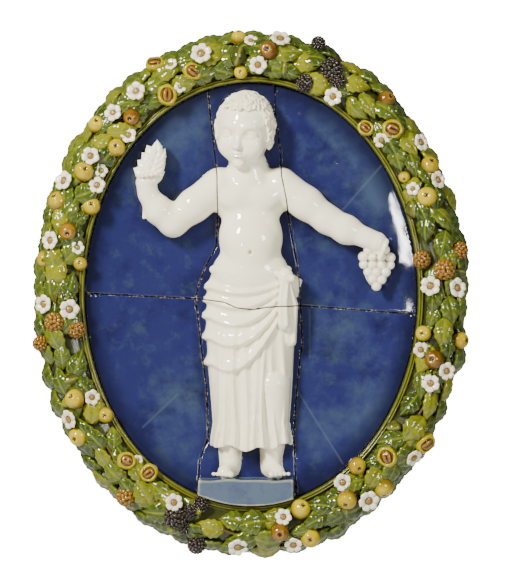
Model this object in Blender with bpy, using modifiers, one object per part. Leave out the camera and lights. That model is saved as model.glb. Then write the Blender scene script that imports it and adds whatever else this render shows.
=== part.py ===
# Oval wall plaque of glazed terracotta: a garland frame round a concave field made in six sections,
# with a standing child in relief. Metres. X runs right as seen from the front, Z up, front faces -Y.
# The origin is on the flat back, at the middle of the oval. A depth is a distance out from the back.

import math

import bmesh
import bpy
from mathutils import Matrix, Vector

# Driving dimensions of the oval
FIELD_HALF_WIDTH = 0.348
FIELD_HALF_HEIGHT = 0.442
FRAME_BAND = 0.107
FRAME_GAP = 0.0012
FRAME_SPARE = 0.012
JOINT_GAP = 0.0012
DISH_CENTRE_DEPTH = 0.030
DISH_EDGE_DEPTH = 0.075
DISH_POWER = 2.4
DISH_RINGS = 6
OVAL_STEPS = 56

# The frame's section: distance out from the inner edge, depth
FRAME_PROFILE = (
    (0.000, 0.088),
    (0.008, 0.094),
    (0.014, 0.089),
    (0.032, 0.098),
    (0.055, 0.102),
    (0.078, 0.092),
    (0.097, 0.062),
    (0.107, 0.034),
)

# Faceting
FRAME_VOXEL = 0.0034
FRAME_SMOOTHING = 1
FRAME_TRIANGLES = 4560
FIGURE_VOXEL = 0.0040
FIGURE_SMOOTHING = 2
FIGURE_TRIANGLES = 2950
WELD = 0.00002

# Radii of the garland's fruit, and how far each kind is sunk in the leaves
FRUIT_RADIUS = {"apple": 0.020, "medlar": 0.020, "chestnut": 0.020, "cone": 0.020, "berry": 0.024}
FRUIT_LIFT = 0.42
BLOSSOM_PETALS = 5
BLOSSOM_LIFT = 0.013
BLOSSOM_EYE = 0.006
PETAL_RADIUS = 0.008
PETAL_REACH = 0.010

# Bunches clockwise from the top: clock angle in degrees, outer, inner and middle fruit
BUNCHES = (
    (357, "apple", "apple", "medlar"),
    (18, "berry", "berry", "berry"),
    (41, "medlar", "chestnut", "chestnut"),
    (59, "apple", "apple", "apple"),
    (80, "cone", "cone", "cone"),
    (101, "apple", "apple", "medlar"),
    (126, "chestnut", "apple", "chestnut"),
    (142, "apple", "apple", "apple"),
    (164, "apple", "apple", "medlar"),
    (196, "berry", "berry", "berry"),
    (216, "cone", "chestnut", "chestnut"),
    (236, "apple", "apple", "apple"),
    (259, "cone", "cone", "cone"),
    (278, "apple", "apple", "medlar"),
    (293, "apple", "apple", "apple"),
    (312, "apple", "apple", "medlar"),
    (333, "chestnut", "chestnut", "chestnut"),
)
OUTER_ROW = 0.087
INNER_ROW = 0.019
MIDDLE_ROW = 0.054
MIDDLE_STEP = 6.5
BLOSSOM_STEP = 4.5
SLOPE_STEP = 0.01

# Leaves
LEAF_LENGTH = 0.070
LEAF_WIDTH = 0.038
LEAF_THICKNESS = 0.018
LEAF_LIFT = 0.004
LEAF_ARCH = 0.25
LEAF_CUP = 0.34
LEAF_POINT = 0.40
# between two bunches: share of the way on, place across the band, fan away from it in degrees
LEAF_FAN = (
    (0.32, 0.090, 50.0), (0.34, 0.022, -34.0), (0.50, 0.056, 4.0), (0.62, 0.092, 34.0), (0.64, 0.024, -20.0),
    (0.82, 0.056, -8.0), (0.94, 0.094, 40.0),
)

# Joint lines of the field, as points (x, z) from the photo's joints and the figure's own contour
LEFT_UPPER_JOINT = (
    (-0.094, 0.460), (-0.084, 0.360), (-0.071, 0.245), (-0.070, 0.175),
    (-0.074, 0.100), (-0.098, 0.055), (-0.112, 0.015), (-0.118, -0.0095),
)
RIGHT_UPPER_JOINT = (
    (0.050, 0.460), (0.050, 0.384), (0.061, 0.300), (0.064, 0.245),
    (0.073, 0.200), (0.084, 0.130), (0.098, 0.057), (0.104, -0.0244),
)
LEVEL_JOINT = (
    (-0.370, 0.0025), (-0.225, -0.005), (-0.118, -0.0095), (-0.057, -0.017),
    (-0.030, -0.029), (0.006, -0.0325), (0.035, -0.0275), (0.104, -0.0244), (0.325, -0.041), (0.370, -0.044),
)
LEFT_LOWER_JOINT = (
    (-0.118, -0.0095), (-0.108, -0.090), (-0.094, -0.200), (-0.090, -0.300),
    (-0.108, -0.350), (-0.116, -0.470),
)
RIGHT_LOWER_JOINT = (
    (0.104, -0.0244), (0.108, -0.100), (0.096, -0.200), (0.090, -0.300),
    (0.092, -0.350), (0.096, -0.470),
)

# The head: centre (x, z, depth), radii across, up and out, and its turn in degrees
HEAD = (-0.013, 0.340, 0.082)
HEAD_RADII = (0.0575, 0.0760, 0.0590)
HEAD_TURN = -14.0
HEAD_NOD = 8.0
HEAD_ROLL = 5.0
# its forms as shares of those radii: place across, up, out, then size across, up, out
HEAD_FORMS = (
    (0.00, 0.10, -0.05, 1.00, 0.92, 1.00),     # skull
    (0.00, -0.45, 0.28, 0.66, 0.50, 0.62),     # jaw
    (-0.40, -0.34, 0.52, 0.38, 0.34, 0.34),    # cheeks
    (0.40, -0.34, 0.52, 0.38, 0.34, 0.34),
    (0.00, -0.86, 0.52, 0.24, 0.14, 0.26),     # chin
    (0.00, -0.24, 0.98, 0.13, 0.20, 0.20),     # nose
    (0.00, -0.58, 0.84, 0.26, 0.09, 0.14),     # lips
    (-0.94, -0.16, 0.00, 0.14, 0.24, 0.22),    # ears
    (0.94, -0.16, 0.00, 0.14, 0.24, 0.22),
)
# rows of locks over the crown and down past the ears: height, number, reach out from the axis
LOCK_ROWS = ((0.94, 5, 0.42), (0.72, 9, 0.72), (0.40, 11, 0.89), (0.06, 11, 0.92))
LOCK_RADIUS = 0.0118
LOCK_ARC = 208.0
BROW_LINE = 0.5        # below this height locks stay off the face
BROW_OUT = 0.55

# The body: stations of x, z, depth and radius
NECK = ((-0.010, 0.290, 0.064, 0.036), (-0.005, 0.246, 0.054, 0.047))
TRUNK = (
    # centre x, z, depth, radii across, up, out
    (-0.003, 0.202, 0.052, 0.080, 0.062, 0.045),
    (-0.001, 0.118, 0.056, 0.067, 0.078, 0.051),
    (-0.002, 0.046, 0.056, 0.080, 0.060, 0.047),
)
RAISED_ARM = (
    (-0.066, 0.228, 0.056, 0.038), (-0.120, 0.186, 0.064, 0.034), (-0.164, 0.150, 0.066, 0.029),
    (-0.194, 0.176, 0.074, 0.029), (-0.215, 0.208, 0.082, 0.019), (-0.219, 0.232, 0.088, 0.022),
)
LOWERED_ARM = (
    (0.062, 0.228, 0.056, 0.038), (0.116, 0.190, 0.064, 0.034), (0.160, 0.156, 0.068, 0.029),
    (0.200, 0.134, 0.078, 0.029), (0.238, 0.118, 0.086, 0.019), (0.262, 0.108, 0.088, 0.022),
)
LEGS = (
    ((-0.042, -0.190, 0.056, 0.036), (-0.044, -0.280, 0.052, 0.031), (-0.044, -0.350, 0.052, 0.020)),
    ((0.046, -0.190, 0.064, 0.036), (0.046, -0.280, 0.056, 0.031), (0.042, -0.350, 0.054, 0.020)),
)
FEET = (
    ((-0.044, -0.362, 0.056, 0.019), (-0.054, -0.374, 0.098, 0.014)),
    ((0.042, -0.362, 0.056, 0.019), (0.054, -0.374, 0.096, 0.014)),
)
PALM_RADII = (0.017, 0.017, 0.013)
FINGER_RADIUS = 0.0068
FINGER_SPREAD = 0.0095
FINGER_REACH = 0.012
FINGER_CURL = 0.020
# the raised hand turns its palm outwards, the lowered one hangs over what it holds
RAISED_CURL = (0.4, -0.9, 0.2)
LOWERED_CURL = (0.1, -0.7, -0.7)
# the clay behind the arms and the sprig that ties them to the ground, as shares of the limb's radius
BACKING_SINK = 0.9
BACKING_RADIUS = 0.8
FIGURE_ROOT = 0.013

LEDGE = {"left": -0.110, "right": 0.088, "top": -0.386, "bottom": -0.460, "depth": 0.112, "root": 0.010}
LEDGE_INSET = 0.0012

# The cloth wrapped round the waist: height, half width
SKIRT_STATIONS = (
    (0.056, 0.080), (0.010, 0.090), (-0.070, 0.094), (-0.170, 0.086), (-0.270, 0.076), (-0.322, 0.082),
)
SKIRT_CENTRE = -0.001
SKIRT_BACK = 0.046
SKIRT_OUT = 0.049
SKIRT_ROWS = 12
SKIRT_AROUND = 24
# upright folds by their place across, from -1 to 1, each widening to the hem
UPRIGHT_FOLDS = (-0.88, -0.62, -0.36, -0.12, 0.14, 0.42, 0.68, 0.90)
UPRIGHT_TOP = -0.090
UPRIGHT_RADIUS = 0.0065
UPRIGHT_SPREAD = 0.0035
UPRIGHT_SWAY = 0.05
UPRIGHT_STEPS = 6
# swags by how far they drop from the knot to the other hip
SWAG_FOLDS = (0.028, 0.056, 0.092, 0.136, 0.190)
SWAG_START = 0.86
SWAG_WIDTH = 1.78
SWAG_SAG = 0.022
SWAG_SAG_STEP = 0.010
SWAG_RADIUS = 0.0075
SWAG_STEPS = 8
# the rolled edge at the waist, and the knot with its two tails as steps from it
WAIST_HEIGHT = 0.050
WAIST_DIP = 0.010
WAIST_RADIUS = 0.009
WAIST_STEPS = 10
KNOT = (0.072, 0.036, 0.090, 0.016)
KNOT_TAILS = (
    ((0.000, 0.000, 0.000, 0.010), (0.014, -0.060, -0.016, 0.012), (0.012, -0.135, -0.026, 0.014)),
    ((0.000, 0.000, 0.000, 0.010), (-0.006, -0.050, 0.004, 0.011), (-0.004, -0.100, -0.002, 0.012)),
)

# The sprig in the raised hand and the grapes in the lowered one
SPRIG = ((-0.224, 0.160), (-0.217, 0.234), (-0.196, 0.282))
SPRIG_DEPTH = 0.080
SPRIG_STEM = 0.0042
SPRIG_BACKING = 0.014
SPRIG_LEAVES = 7
SPRIG_FIRST = 0.18
SPRIG_STEP = 0.13
SPRIG_LEAN = 62.0
SPRIG_LEAN_STEP = 6.0
SPRIG_LEAF = (0.050, 0.022, 0.012)      # length, width, thickness
GRAPES_TOP = (0.262, 0.092)
GRAPES_DEPTH = 0.076
GRAPE_RADIUS = 0.0115
GRAPE_ROWS = (3, 4, 3, 3, 2, 1)
GRAPE_APART = 1.7
GRAPE_DROP = 1.42
GRAPE_CROWN = 0.010
GRAPES_CORE = (0.024, 0.040, 0.020)
GRAPES_CORE_SPOT = (0.262, 0.062, 0.066)
GRAPES_STALK = ((0.262, 0.104, 0.086, 0.005), (0.262, 0.092, 0.080, 0.005))

# The cutters reach this far past what they cut
CUT_DEPTH = 0.20
CUT_SPARE = 0.05
JOINT_OVERRUN = 0.3 * JOINT_GAP
# which section a part of the field is, by the middle of its box
LEVEL_SPLIT = -0.02
SIDE_SPLIT = 0.09

GLAZES = {
    "garland": ((0.10, 0.19, 0.04), 0.25),
    "field": ((0.03, 0.05, 0.22), 0.22),
}


def clear_scene():
    for item in list(bpy.data.objects):
        bpy.data.objects.remove(item, do_unlink=True)
    for group in list(bpy.data.collections):
        bpy.data.collections.remove(group)


def new_collection(name):
    group = bpy.data.collections.new(name)
    bpy.context.scene.collection.children.link(group)
    return group


def glaze(name, kind):
    colour, roughness = GLAZES[kind]
    material = bpy.data.materials.new(name)
    material.use_nodes = True
    shader = material.node_tree.nodes["Principled BSDF"]
    shader.inputs["Base Color"].default_value = (*colour, 1.0)
    shader.inputs["Roughness"].default_value = roughness
    shader.inputs["Metallic"].default_value = 0.0
    return material


def place(x, z, depth):
    return Vector((x, -depth, z))


def object_from(mesh_maker, name, group):
    built = bmesh.new()
    mesh_maker(built)
    bmesh.ops.recalc_face_normals(built, faces=built.faces)
    mesh = bpy.data.meshes.new(name)
    built.to_mesh(mesh)
    built.free()
    item = bpy.data.objects.new(name, mesh)
    group.objects.link(item)
    return item


def apply_modifiers(item):
    depsgraph = bpy.context.evaluated_depsgraph_get()
    mesh = bpy.data.meshes.new_from_object(item.evaluated_get(depsgraph))
    item.modifiers.clear()
    item.data = mesh


# Soft forms, each a closed primitive that the remesh later joins to its neighbours

def add_ball(built, centre, radii, turn=Matrix.Identity(4), level=2):
    shape = Matrix.Diagonal((radii[0], radii[2], radii[1], 1.0))
    bmesh.ops.create_icosphere(
        built, subdivisions=level, radius=1.0, matrix=Matrix.Translation(centre) @ turn @ shape)


def add_taper(built, start, end, start_radius, end_radius, segments=14):
    axis = end - start
    turn = axis.to_track_quat("Z", "Y").to_matrix().to_4x4()
    bmesh.ops.create_cone(
        built, cap_ends=True, segments=segments, radius1=start_radius, radius2=end_radius,
        depth=axis.length, matrix=Matrix.Translation((start + end) / 2) @ turn)


def add_limb(built, stations):
    spots = [(place(x, z, depth), radius) for x, z, depth, radius in stations]
    for spot, radius in spots:
        add_ball(built, spot, (radius, radius, radius))
    for (start, first), (end, second) in zip(spots, spots[1:]):
        add_taper(built, start, end, first, second)


def add_leaf(built, centre, along, out, length, width, thickness):
    # a pointed blade: a ball stretched along its length, drawn in at both ends, arched and cupped
    side = out.cross(along).normalized()
    made = bmesh.ops.create_uvsphere(built, u_segments=8, v_segments=6, radius=1.0)
    for vert in made["verts"]:
        across, lift, run = vert.co
        narrow = 1.0 - LEAF_POINT * run * run
        arch = LEAF_ARCH * (1.0 - run * run) - LEAF_CUP * across * across * narrow
        vert.co = (
            centre
            + along * (run * length / 2)
            + side * (across * narrow * width / 2)
            + out * (lift * thickness / 2 + arch * thickness)
        )


# The oval

def oval_point(clock, out, depth):
    angle = math.radians(clock)
    return place((FIELD_HALF_WIDTH + out) * math.sin(angle), (FIELD_HALF_HEIGHT + out) * math.cos(angle), depth)


def oval_axes(clock):
    # outward across the band, and clockwise along it
    outward = (oval_point(clock, 0.05, 0.0) - oval_point(clock, 0.0, 0.0)).normalized()
    onward = (oval_point(clock + 0.5, 0.05, 0.0) - oval_point(clock - 0.5, 0.05, 0.0)).normalized()
    return outward, onward


def frame_depth(out):
    for (near, near_depth), (far, far_depth) in zip(FRAME_PROFILE, FRAME_PROFILE[1:]):
        if out <= far:
            share = max(0.0, (out - near) / (far - near))
            return near_depth + share * (far_depth - near_depth)
    return FRAME_PROFILE[-1][1]


def dish_depth(x, z):
    reach = min(1.0, math.hypot(x / FIELD_HALF_WIDTH, z / FIELD_HALF_HEIGHT))
    return DISH_CENTRE_DEPTH + (DISH_EDGE_DEPTH - DISH_CENTRE_DEPTH) * reach ** DISH_POWER


def make_dish(group):
    # a turned profile on a unit radius, then drawn out to the oval
    rings = [index / DISH_RINGS for index in range(DISH_RINGS + 1)]
    front = [(ring, dish_depth(ring * FIELD_HALF_WIDTH, 0.0)) for ring in rings]
    profile = front + [(1.0, 0.0), (0.0, 0.0)]
    mesh = bpy.data.meshes.new("dish")
    verts = [(radius, 0.0, height) for radius, height in profile]
    mesh.from_pydata(verts, [(index, index + 1) for index in range(len(verts) - 1)], [])
    dish = bpy.data.objects.new("dish", mesh)
    group.objects.link(dish)
    screw = dish.modifiers.new("turn", "SCREW")
    screw.steps = OVAL_STEPS
    screw.render_steps = OVAL_STEPS
    screw.use_merge_vertices = True
    screw.merge_threshold = 0.0001
    apply_modifiers(dish)
    half_width = FIELD_HALF_WIDTH - FRAME_GAP
    half_height = FIELD_HALF_HEIGHT - FRAME_GAP
    stretch = Matrix.Diagonal((half_width, half_height, 1.0, 1.0))
    dish.data.transform(Matrix.Rotation(math.pi / 2, 4, "X") @ stretch)
    return dish


def make_frame_ring(built):
    inner = -FRAME_SPARE
    section = [(inner, -FRAME_SPARE), (inner, FRAME_PROFILE[0][1])] + list(FRAME_PROFILE)
    section.append((FRAME_BAND, -FRAME_SPARE))
    rings = []
    for step in range(OVAL_STEPS * 2):
        clock = 360.0 * step / (OVAL_STEPS * 2)
        rings.append([built.verts.new(oval_point(clock, out, depth)) for out, depth in section])
    for ring, following in zip(rings, rings[1:] + rings[:1]):
        for index in range(len(section)):
            after = (index + 1) % len(section)
            built.faces.new((ring[index], ring[after], following[after], following[index]))


# The garland

def add_blossom(built, clock, out):
    centre = oval_point(clock, out, frame_depth(out) + BLOSSOM_LIFT)
    outward, onward = oval_axes(clock)
    for petal in range(BLOSSOM_PETALS):
        angle = 2 * math.pi * petal / BLOSSOM_PETALS
        reach = (outward * math.cos(angle) + onward * math.sin(angle)) * PETAL_REACH
        add_ball(built, centre + reach, (PETAL_RADIUS, PETAL_RADIUS, BLOSSOM_EYE), level=1)
    add_ball(built, centre, (BLOSSOM_EYE, BLOSSOM_EYE, 1.3 * BLOSSOM_EYE), level=1)


def add_fruit(built, kind, clock, out):
    radius = FRUIT_RADIUS[kind]
    centre = oval_point(clock, out, frame_depth(out) + FRUIT_LIFT * radius)
    add_ball(built, centre, (radius, radius, radius))


def add_leaves(built, clock, gap):
    for share, out, fan in LEAF_FAN:
        spot = clock + share * gap
        outward, onward = oval_axes(spot)
        slope = (frame_depth(out + SLOPE_STEP) - frame_depth(out - SLOPE_STEP)) / (2 * SLOPE_STEP)
        off_wall = (Vector((0.0, -1.0, 0.0)) - outward * slope).normalized()
        turn = math.radians(fan)
        along = outward * math.sin(turn) + onward * math.cos(turn)
        along = (along - off_wall * along.dot(off_wall)).normalized()
        centre = oval_point(spot, out, frame_depth(out) + LEAF_LIFT)
        add_leaf(built, centre, along, off_wall, LEAF_LENGTH, LEAF_WIDTH, LEAF_THICKNESS)


def make_garland(built):
    make_frame_ring(built)
    following = [bunch[0] for bunch in BUNCHES[1:]] + [BUNCHES[0][0] + 360]
    for (clock, outer, inner, middle), after in zip(BUNCHES, following):
        add_leaves(built, clock, (after - clock) % 360)
        add_fruit(built, outer, clock, OUTER_ROW)
        add_fruit(built, inner, clock, INNER_ROW)
        add_fruit(built, middle, clock + MIDDLE_STEP, MIDDLE_ROW)
        add_blossom(built, clock + BLOSSOM_STEP, INNER_ROW)
        add_blossom(built, clock + BLOSSOM_STEP, OUTER_ROW)


# The child

def skirt_half_width(height):
    for (top, wide), (low, narrow) in zip(SKIRT_STATIONS, SKIRT_STATIONS[1:]):
        if height >= low:
            share = min(1.0, (top - height) / (top - low))
            ease = share * share * (3.0 - 2.0 * share)
            return wide + ease * (narrow - wide)
    return SKIRT_STATIONS[-1][1]


def skirt_spot(across, height):
    wide = skirt_half_width(height)
    out = SKIRT_OUT * math.sqrt(max(0.0, 1.0 - across * across))
    return SKIRT_CENTRE + across * wide, height, SKIRT_BACK + out


def add_skirt(built):
    top = SKIRT_STATIONS[0][0]
    hem = SKIRT_STATIONS[-1][0]
    rings = []
    for index in range(SKIRT_ROWS + 1):
        height = top + (hem - top) * index / SKIRT_ROWS
        ring = []
        for step in range(SKIRT_AROUND):
            angle = 2 * math.pi * step / SKIRT_AROUND
            x = SKIRT_CENTRE + skirt_half_width(height) * math.cos(angle)
            ring.append(built.verts.new(place(x, height, SKIRT_BACK + SKIRT_OUT * math.sin(angle))))
        rings.append(ring)
    for upper, lower in zip(rings, rings[1:]):
        for step in range(SKIRT_AROUND):
            after = (step + 1) % SKIRT_AROUND
            built.faces.new((upper[step], upper[after], lower[after], lower[step]))
    built.faces.new(rings[0])
    built.faces.new(rings[-1])


def add_upright_folds(built):
    hem = SKIRT_STATIONS[-1][0]
    for number, across in enumerate(UPRIGHT_FOLDS):
        stations = []
        for step in range(UPRIGHT_STEPS + 1):
            share = step / UPRIGHT_STEPS
            height = UPRIGHT_TOP + share * (hem - UPRIGHT_TOP)
            sway = across * (0.82 + 0.18 * share) + UPRIGHT_SWAY * math.sin(math.pi * share + number)
            stations.append((*skirt_spot(sway, height), UPRIGHT_RADIUS + UPRIGHT_SPREAD * share))
        add_limb(built, stations)


def add_swags(built):
    # folds that hang in curves from the knot across to the other hip
    for number, drop in enumerate(SWAG_FOLDS):
        stations = []
        for step in range(SWAG_STEPS + 1):
            share = step / SWAG_STEPS
            sag = 4.0 * share * (1.0 - share) * (SWAG_SAG + SWAG_SAG_STEP * number)
            height = KNOT[1] - drop * (0.25 + 0.75 * share) - sag
            radius = SWAG_RADIUS * (0.75 + 0.5 * math.sin(math.pi * share))
            stations.append((*skirt_spot(SWAG_START - SWAG_WIDTH * share, height), radius))
        add_limb(built, stations)


def add_waist_and_knot(built):
    waist = []
    for step in range(WAIST_STEPS + 1):
        share = step / WAIST_STEPS
        height = WAIST_HEIGHT - WAIST_DIP * math.sin(math.pi * share)
        waist.append((*skirt_spot(0.95 - 1.90 * share, height), WAIST_RADIUS))
    add_limb(built, waist)
    x, z, depth, radius = KNOT
    add_ball(built, place(x, z, depth), (radius, radius * 1.2, radius))
    for tail in KNOT_TAILS:
        add_limb(built, [(x + right, z + up, depth + out, thick) for right, up, out, thick in tail])


def head_turn():
    turn = Matrix.Rotation(math.radians(HEAD_TURN), 4, "Z")
    nod = Matrix.Rotation(math.radians(HEAD_NOD), 4, "X")
    roll = Matrix.Rotation(math.radians(HEAD_ROLL), 4, "Y")
    return roll @ turn @ nod


def add_head(built):
    centre = place(*HEAD)
    turn = head_turn()
    wide, tall, deep = HEAD_RADII

    def spot(across, up, out):
        return centre + turn @ Vector((across * wide, -out * deep, up * tall))

    for across, up, out, size_across, size_up, size_out in HEAD_FORMS:
        add_ball(built, spot(across, up, out), (wide * size_across, tall * size_up, deep * size_out), turn)
    for row, (up, count, reach) in enumerate(LOCK_ROWS):
        for number in range(count):
            share = (number + 0.5 * (row % 2)) / (count - 1)
            angle = math.radians(LOCK_ARC * share - (LOCK_ARC - 180.0) / 2)
            across = math.cos(angle) * reach
            out = math.sin(angle) * reach
            if up < BROW_LINE and out > BROW_OUT:
                continue
            lock = LOCK_RADIUS * (1.0 + 0.1 * math.sin(5.0 * number + row))
            add_ball(built, spot(across, up, out), (lock, lock, lock), level=1)


def add_sprig(built):
    add_limb(built, [(x, z, SPRIG_DEPTH, SPRIG_STEM) for x, z in SPRIG])
    add_limb(built, [(x, z, SPRIG_DEPTH - SPRIG_BACKING, SPRIG_BACKING) for x, z in SPRIG[1:]])
    start = Vector(SPRIG[1])
    end = Vector(SPRIG[2])
    length, width, thickness = SPRIG_LEAF
    for number in range(SPRIG_LEAVES):
        spot = start.lerp(end, SPRIG_FIRST + SPRIG_STEP * number)
        side = -1.0 if number % 2 else 1.0
        at_tip = number == SPRIG_LEAVES - 1
        lean = 0.0 if at_tip else math.radians(SPRIG_LEAN - SPRIG_LEAN_STEP * number) * side
        along = Vector((math.sin(lean), 0.0, math.cos(lean)))
        centre = place(spot.x, spot.y, SPRIG_DEPTH) + along * length / 2
        add_leaf(built, centre, along, Vector((0.0, -1.0, 0.0)), length, width, thickness)


def add_grapes(built):
    x, z = GRAPES_TOP
    for row, count in enumerate(GRAPE_ROWS):
        for number in range(count):
            across = (number - (count - 1) / 2) * GRAPE_RADIUS * GRAPE_APART
            crown = GRAPE_CROWN * (1.0 - abs(across) / (GRAPE_RADIUS * max(GRAPE_ROWS)))
            spot = place(x + across, z - row * GRAPE_RADIUS * GRAPE_DROP, GRAPES_DEPTH + crown)
            add_ball(built, spot, (GRAPE_RADIUS, GRAPE_RADIUS, GRAPE_RADIUS))
    add_ball(built, place(*GRAPES_CORE_SPOT), GRAPES_CORE)
    add_limb(built, GRAPES_STALK)


def add_hand(built, arm, curl):
    # a palm with four fingers that close round what it holds
    wrist = place(*arm[-2][:3])
    knuckles = place(*arm[-1][:3])
    toward = (knuckles - wrist).normalized()
    across = toward.cross(Vector((0.0, -1.0, 0.0))).normalized()
    add_ball(built, (wrist + knuckles) / 2, PALM_RADII)
    for finger in range(4):
        base = knuckles + across * (finger - 1.5) * FINGER_SPREAD
        tip = base + toward * FINGER_REACH + Vector(curl) * FINGER_CURL
        add_taper(built, base, tip, FINGER_RADIUS, FINGER_RADIUS, 8)
        for end in (base, tip):
            add_ball(built, end, (FINGER_RADIUS, FINGER_RADIUS, FINGER_RADIUS), level=1)


def make_child(built):
    add_head(built)
    add_limb(built, NECK)
    for x, z, depth, across, up, out in TRUNK:
        add_ball(built, place(x, z, depth), (across, up, out), level=3)
    for arm, curl in ((RAISED_ARM, RAISED_CURL), (LOWERED_ARM, LOWERED_CURL)):
        add_limb(built, arm)
        add_limb(built, [(x, z, depth - radius * BACKING_SINK, radius * BACKING_RADIUS)
                         for x, z, depth, radius in arm])
        add_hand(built, arm, curl)
    for leg in LEGS + FEET:
        add_limb(built, leg)
    add_skirt(built)
    add_upright_folds(built)
    add_swags(built)
    add_waist_and_knot(built)
    add_sprig(built)
    add_grapes(built)


# Joining, cutting and parting

def soften(item, voxel, triangles, rounds):
    remesh = item.modifiers.new("remesh", "REMESH")
    remesh.mode = "VOXEL"
    remesh.voxel_size = voxel
    smooth = item.modifiers.new("smooth", "SMOOTH")
    smooth.factor = 0.5
    smooth.iterations = rounds
    apply_modifiers(item)
    keep_largest(item)
    faces = sum(len(face.vertices) - 2 for face in item.data.polygons)
    decimate = item.modifiers.new("decimate", "DECIMATE")
    decimate.ratio = triangles / faces
    decimate.use_collapse_triangulate = True
    apply_modifiers(item)


def boolean(item, other, operation):
    step = item.modifiers.new(operation.lower(), "BOOLEAN")
    step.operation = operation
    step.solver = "EXACT"
    step.object = other
    apply_modifiers(item)


def joint_wall(name, line, group):
    mesh = bpy.data.meshes.new(name)
    near = [(x, -CUT_DEPTH, z) for x, z in line]
    far = [(x, CUT_SPARE, z) for x, z in line]
    count = len(line)
    faces = [(index, index + 1, count + index + 1, count + index) for index in range(count - 1)]
    mesh.from_pydata(near + far, [], faces)
    wall = bpy.data.objects.new(name, mesh)
    group.objects.link(wall)
    wall.hide_render = True
    wall.display_type = "WIRE"
    thicken = wall.modifiers.new("thicken", "SOLIDIFY")
    thicken.thickness = JOINT_GAP
    thicken.offset = 0.0
    thicken.use_even_offset = True
    apply_modifiers(wall)
    return wall


def extended(line, reach):
    # runs the end of a line on a little, so that it cuts right through the next joint
    points = [Vector(point) for point in line]
    tail = points[-1] + (points[-1] - points[-2]).normalized() * reach
    head = points[0] - (points[1] - points[0]).normalized() * reach
    return [tuple(point) for point in [head] + points[1:-1] + [tail]]


def keep_largest(item):
    # a remesh can leave specks of a few faces inside a solid
    built, parts = loose_parts(item)
    specks = [vert for group in parts[1:] for vert in group]
    bmesh.ops.delete(built, geom=specks, context="VERTS")
    built.to_mesh(item.data)
    built.free()


def section_name(centre):
    level = "upper" if centre.z > LEVEL_SPLIT else "lower"
    if centre.x < -SIDE_SPLIT:
        return f"field_{level}_left"
    if centre.x > SIDE_SPLIT:
        return f"field_{level}_right"
    return f"field_{level}_centre"


def loose_parts(item):
    built = bmesh.new()
    built.from_mesh(item.data)
    bmesh.ops.remove_doubles(built, verts=built.verts, dist=WELD)
    bmesh.ops.dissolve_degenerate(built, edges=built.edges, dist=WELD)
    waiting = set(built.verts)
    parts = []
    while waiting:
        reached = [waiting.pop()]
        group = set(reached)
        while reached:
            vert = reached.pop()
            for edge in vert.link_edges:
                other = edge.other_vert(vert)
                if other in waiting:
                    waiting.remove(other)
                    group.add(other)
                    reached.append(other)
        parts.append(group)
    parts.sort(key=len, reverse=True)
    return built, parts


def part_object(built, group, home):
    low = [min(vert.co[axis] for vert in group) for axis in range(3)]
    high = [max(vert.co[axis] for vert in group) for axis in range(3)]
    name = section_name((Vector(low) + Vector(high)) / 2)
    copy = built.copy()
    keep = {vert.index for vert in group}
    copy.verts.ensure_lookup_table()
    bmesh.ops.delete(copy, geom=[vert for vert in copy.verts if vert.index not in keep], context="VERTS")
    bmesh.ops.recalc_face_normals(copy, faces=copy.faces)
    mesh = bpy.data.meshes.new(name)
    copy.to_mesh(mesh)
    copy.free()
    item = bpy.data.objects.new(name, mesh)
    item.data.materials.append(glaze(name + "_glaze", "field"))
    home.objects.link(item)


def make_field(home, helpers):
    dish = make_dish(helpers)
    rim = object_from(make_rim_block, "rim_block", helpers)
    ledge = object_from(make_ledge, "ledge", helpers)
    boolean(ledge, rim, "INTERSECT")
    child = object_from(make_child, "child", helpers)
    soften(child, FIGURE_VOXEL, FIGURE_TRIANGLES, FIGURE_SMOOTHING)
    cut_back(child)
    boolean(dish, ledge, "UNION")
    boolean(dish, child, "UNION")
    lines = (LEFT_UPPER_JOINT, RIGHT_UPPER_JOINT, LEVEL_JOINT, LEFT_LOWER_JOINT, RIGHT_LOWER_JOINT)
    for number, line in enumerate(lines):
        reach = 0.0 if line is LEVEL_JOINT else JOINT_OVERRUN
        wall = joint_wall(f"joint_{number}", extended(line, reach), helpers)
        boolean(dish, wall, "DIFFERENCE")
    built, parts = loose_parts(dish)
    built.verts.index_update()
    for group in parts:
        part_object(built, group, home)
    built.free()
    for helper in (dish, rim, ledge, child):
        bpy.data.objects.remove(helper, do_unlink=True)


def cut_back(item):
    # the figure ends inside the ground, behind its front and before its back
    built = bmesh.new()
    built.from_mesh(item.data)
    found = built.verts[:] + built.edges[:] + built.faces[:]
    cut = bmesh.ops.bisect_plane(
        built, geom=found, dist=WELD / 2, plane_co=(0.0, -FIGURE_ROOT, 0.0), plane_no=(0.0, 1.0, 0.0),
        clear_outer=True)
    edges = [found for found in cut["geom_cut"] if isinstance(found, bmesh.types.BMEdge)]
    bmesh.ops.holes_fill(built, edges=edges, sides=0)
    bmesh.ops.triangulate(built, faces=built.faces)
    built.to_mesh(item.data)
    built.free()


def make_rim_block(built):
    # the ledge stays inside this oval, a little within the field's own edge
    bmesh.ops.create_cone(
        built, cap_ends=True, segments=OVAL_STEPS, radius1=1.0, radius2=1.0, depth=2 * CUT_DEPTH)
    inset = FRAME_GAP + LEDGE_INSET
    shape = Matrix.Diagonal((FIELD_HALF_WIDTH - inset, FIELD_HALF_HEIGHT - inset, 1.0, 1.0))
    built.transform(Matrix.Rotation(math.pi / 2, 4, "X") @ shape)


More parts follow.
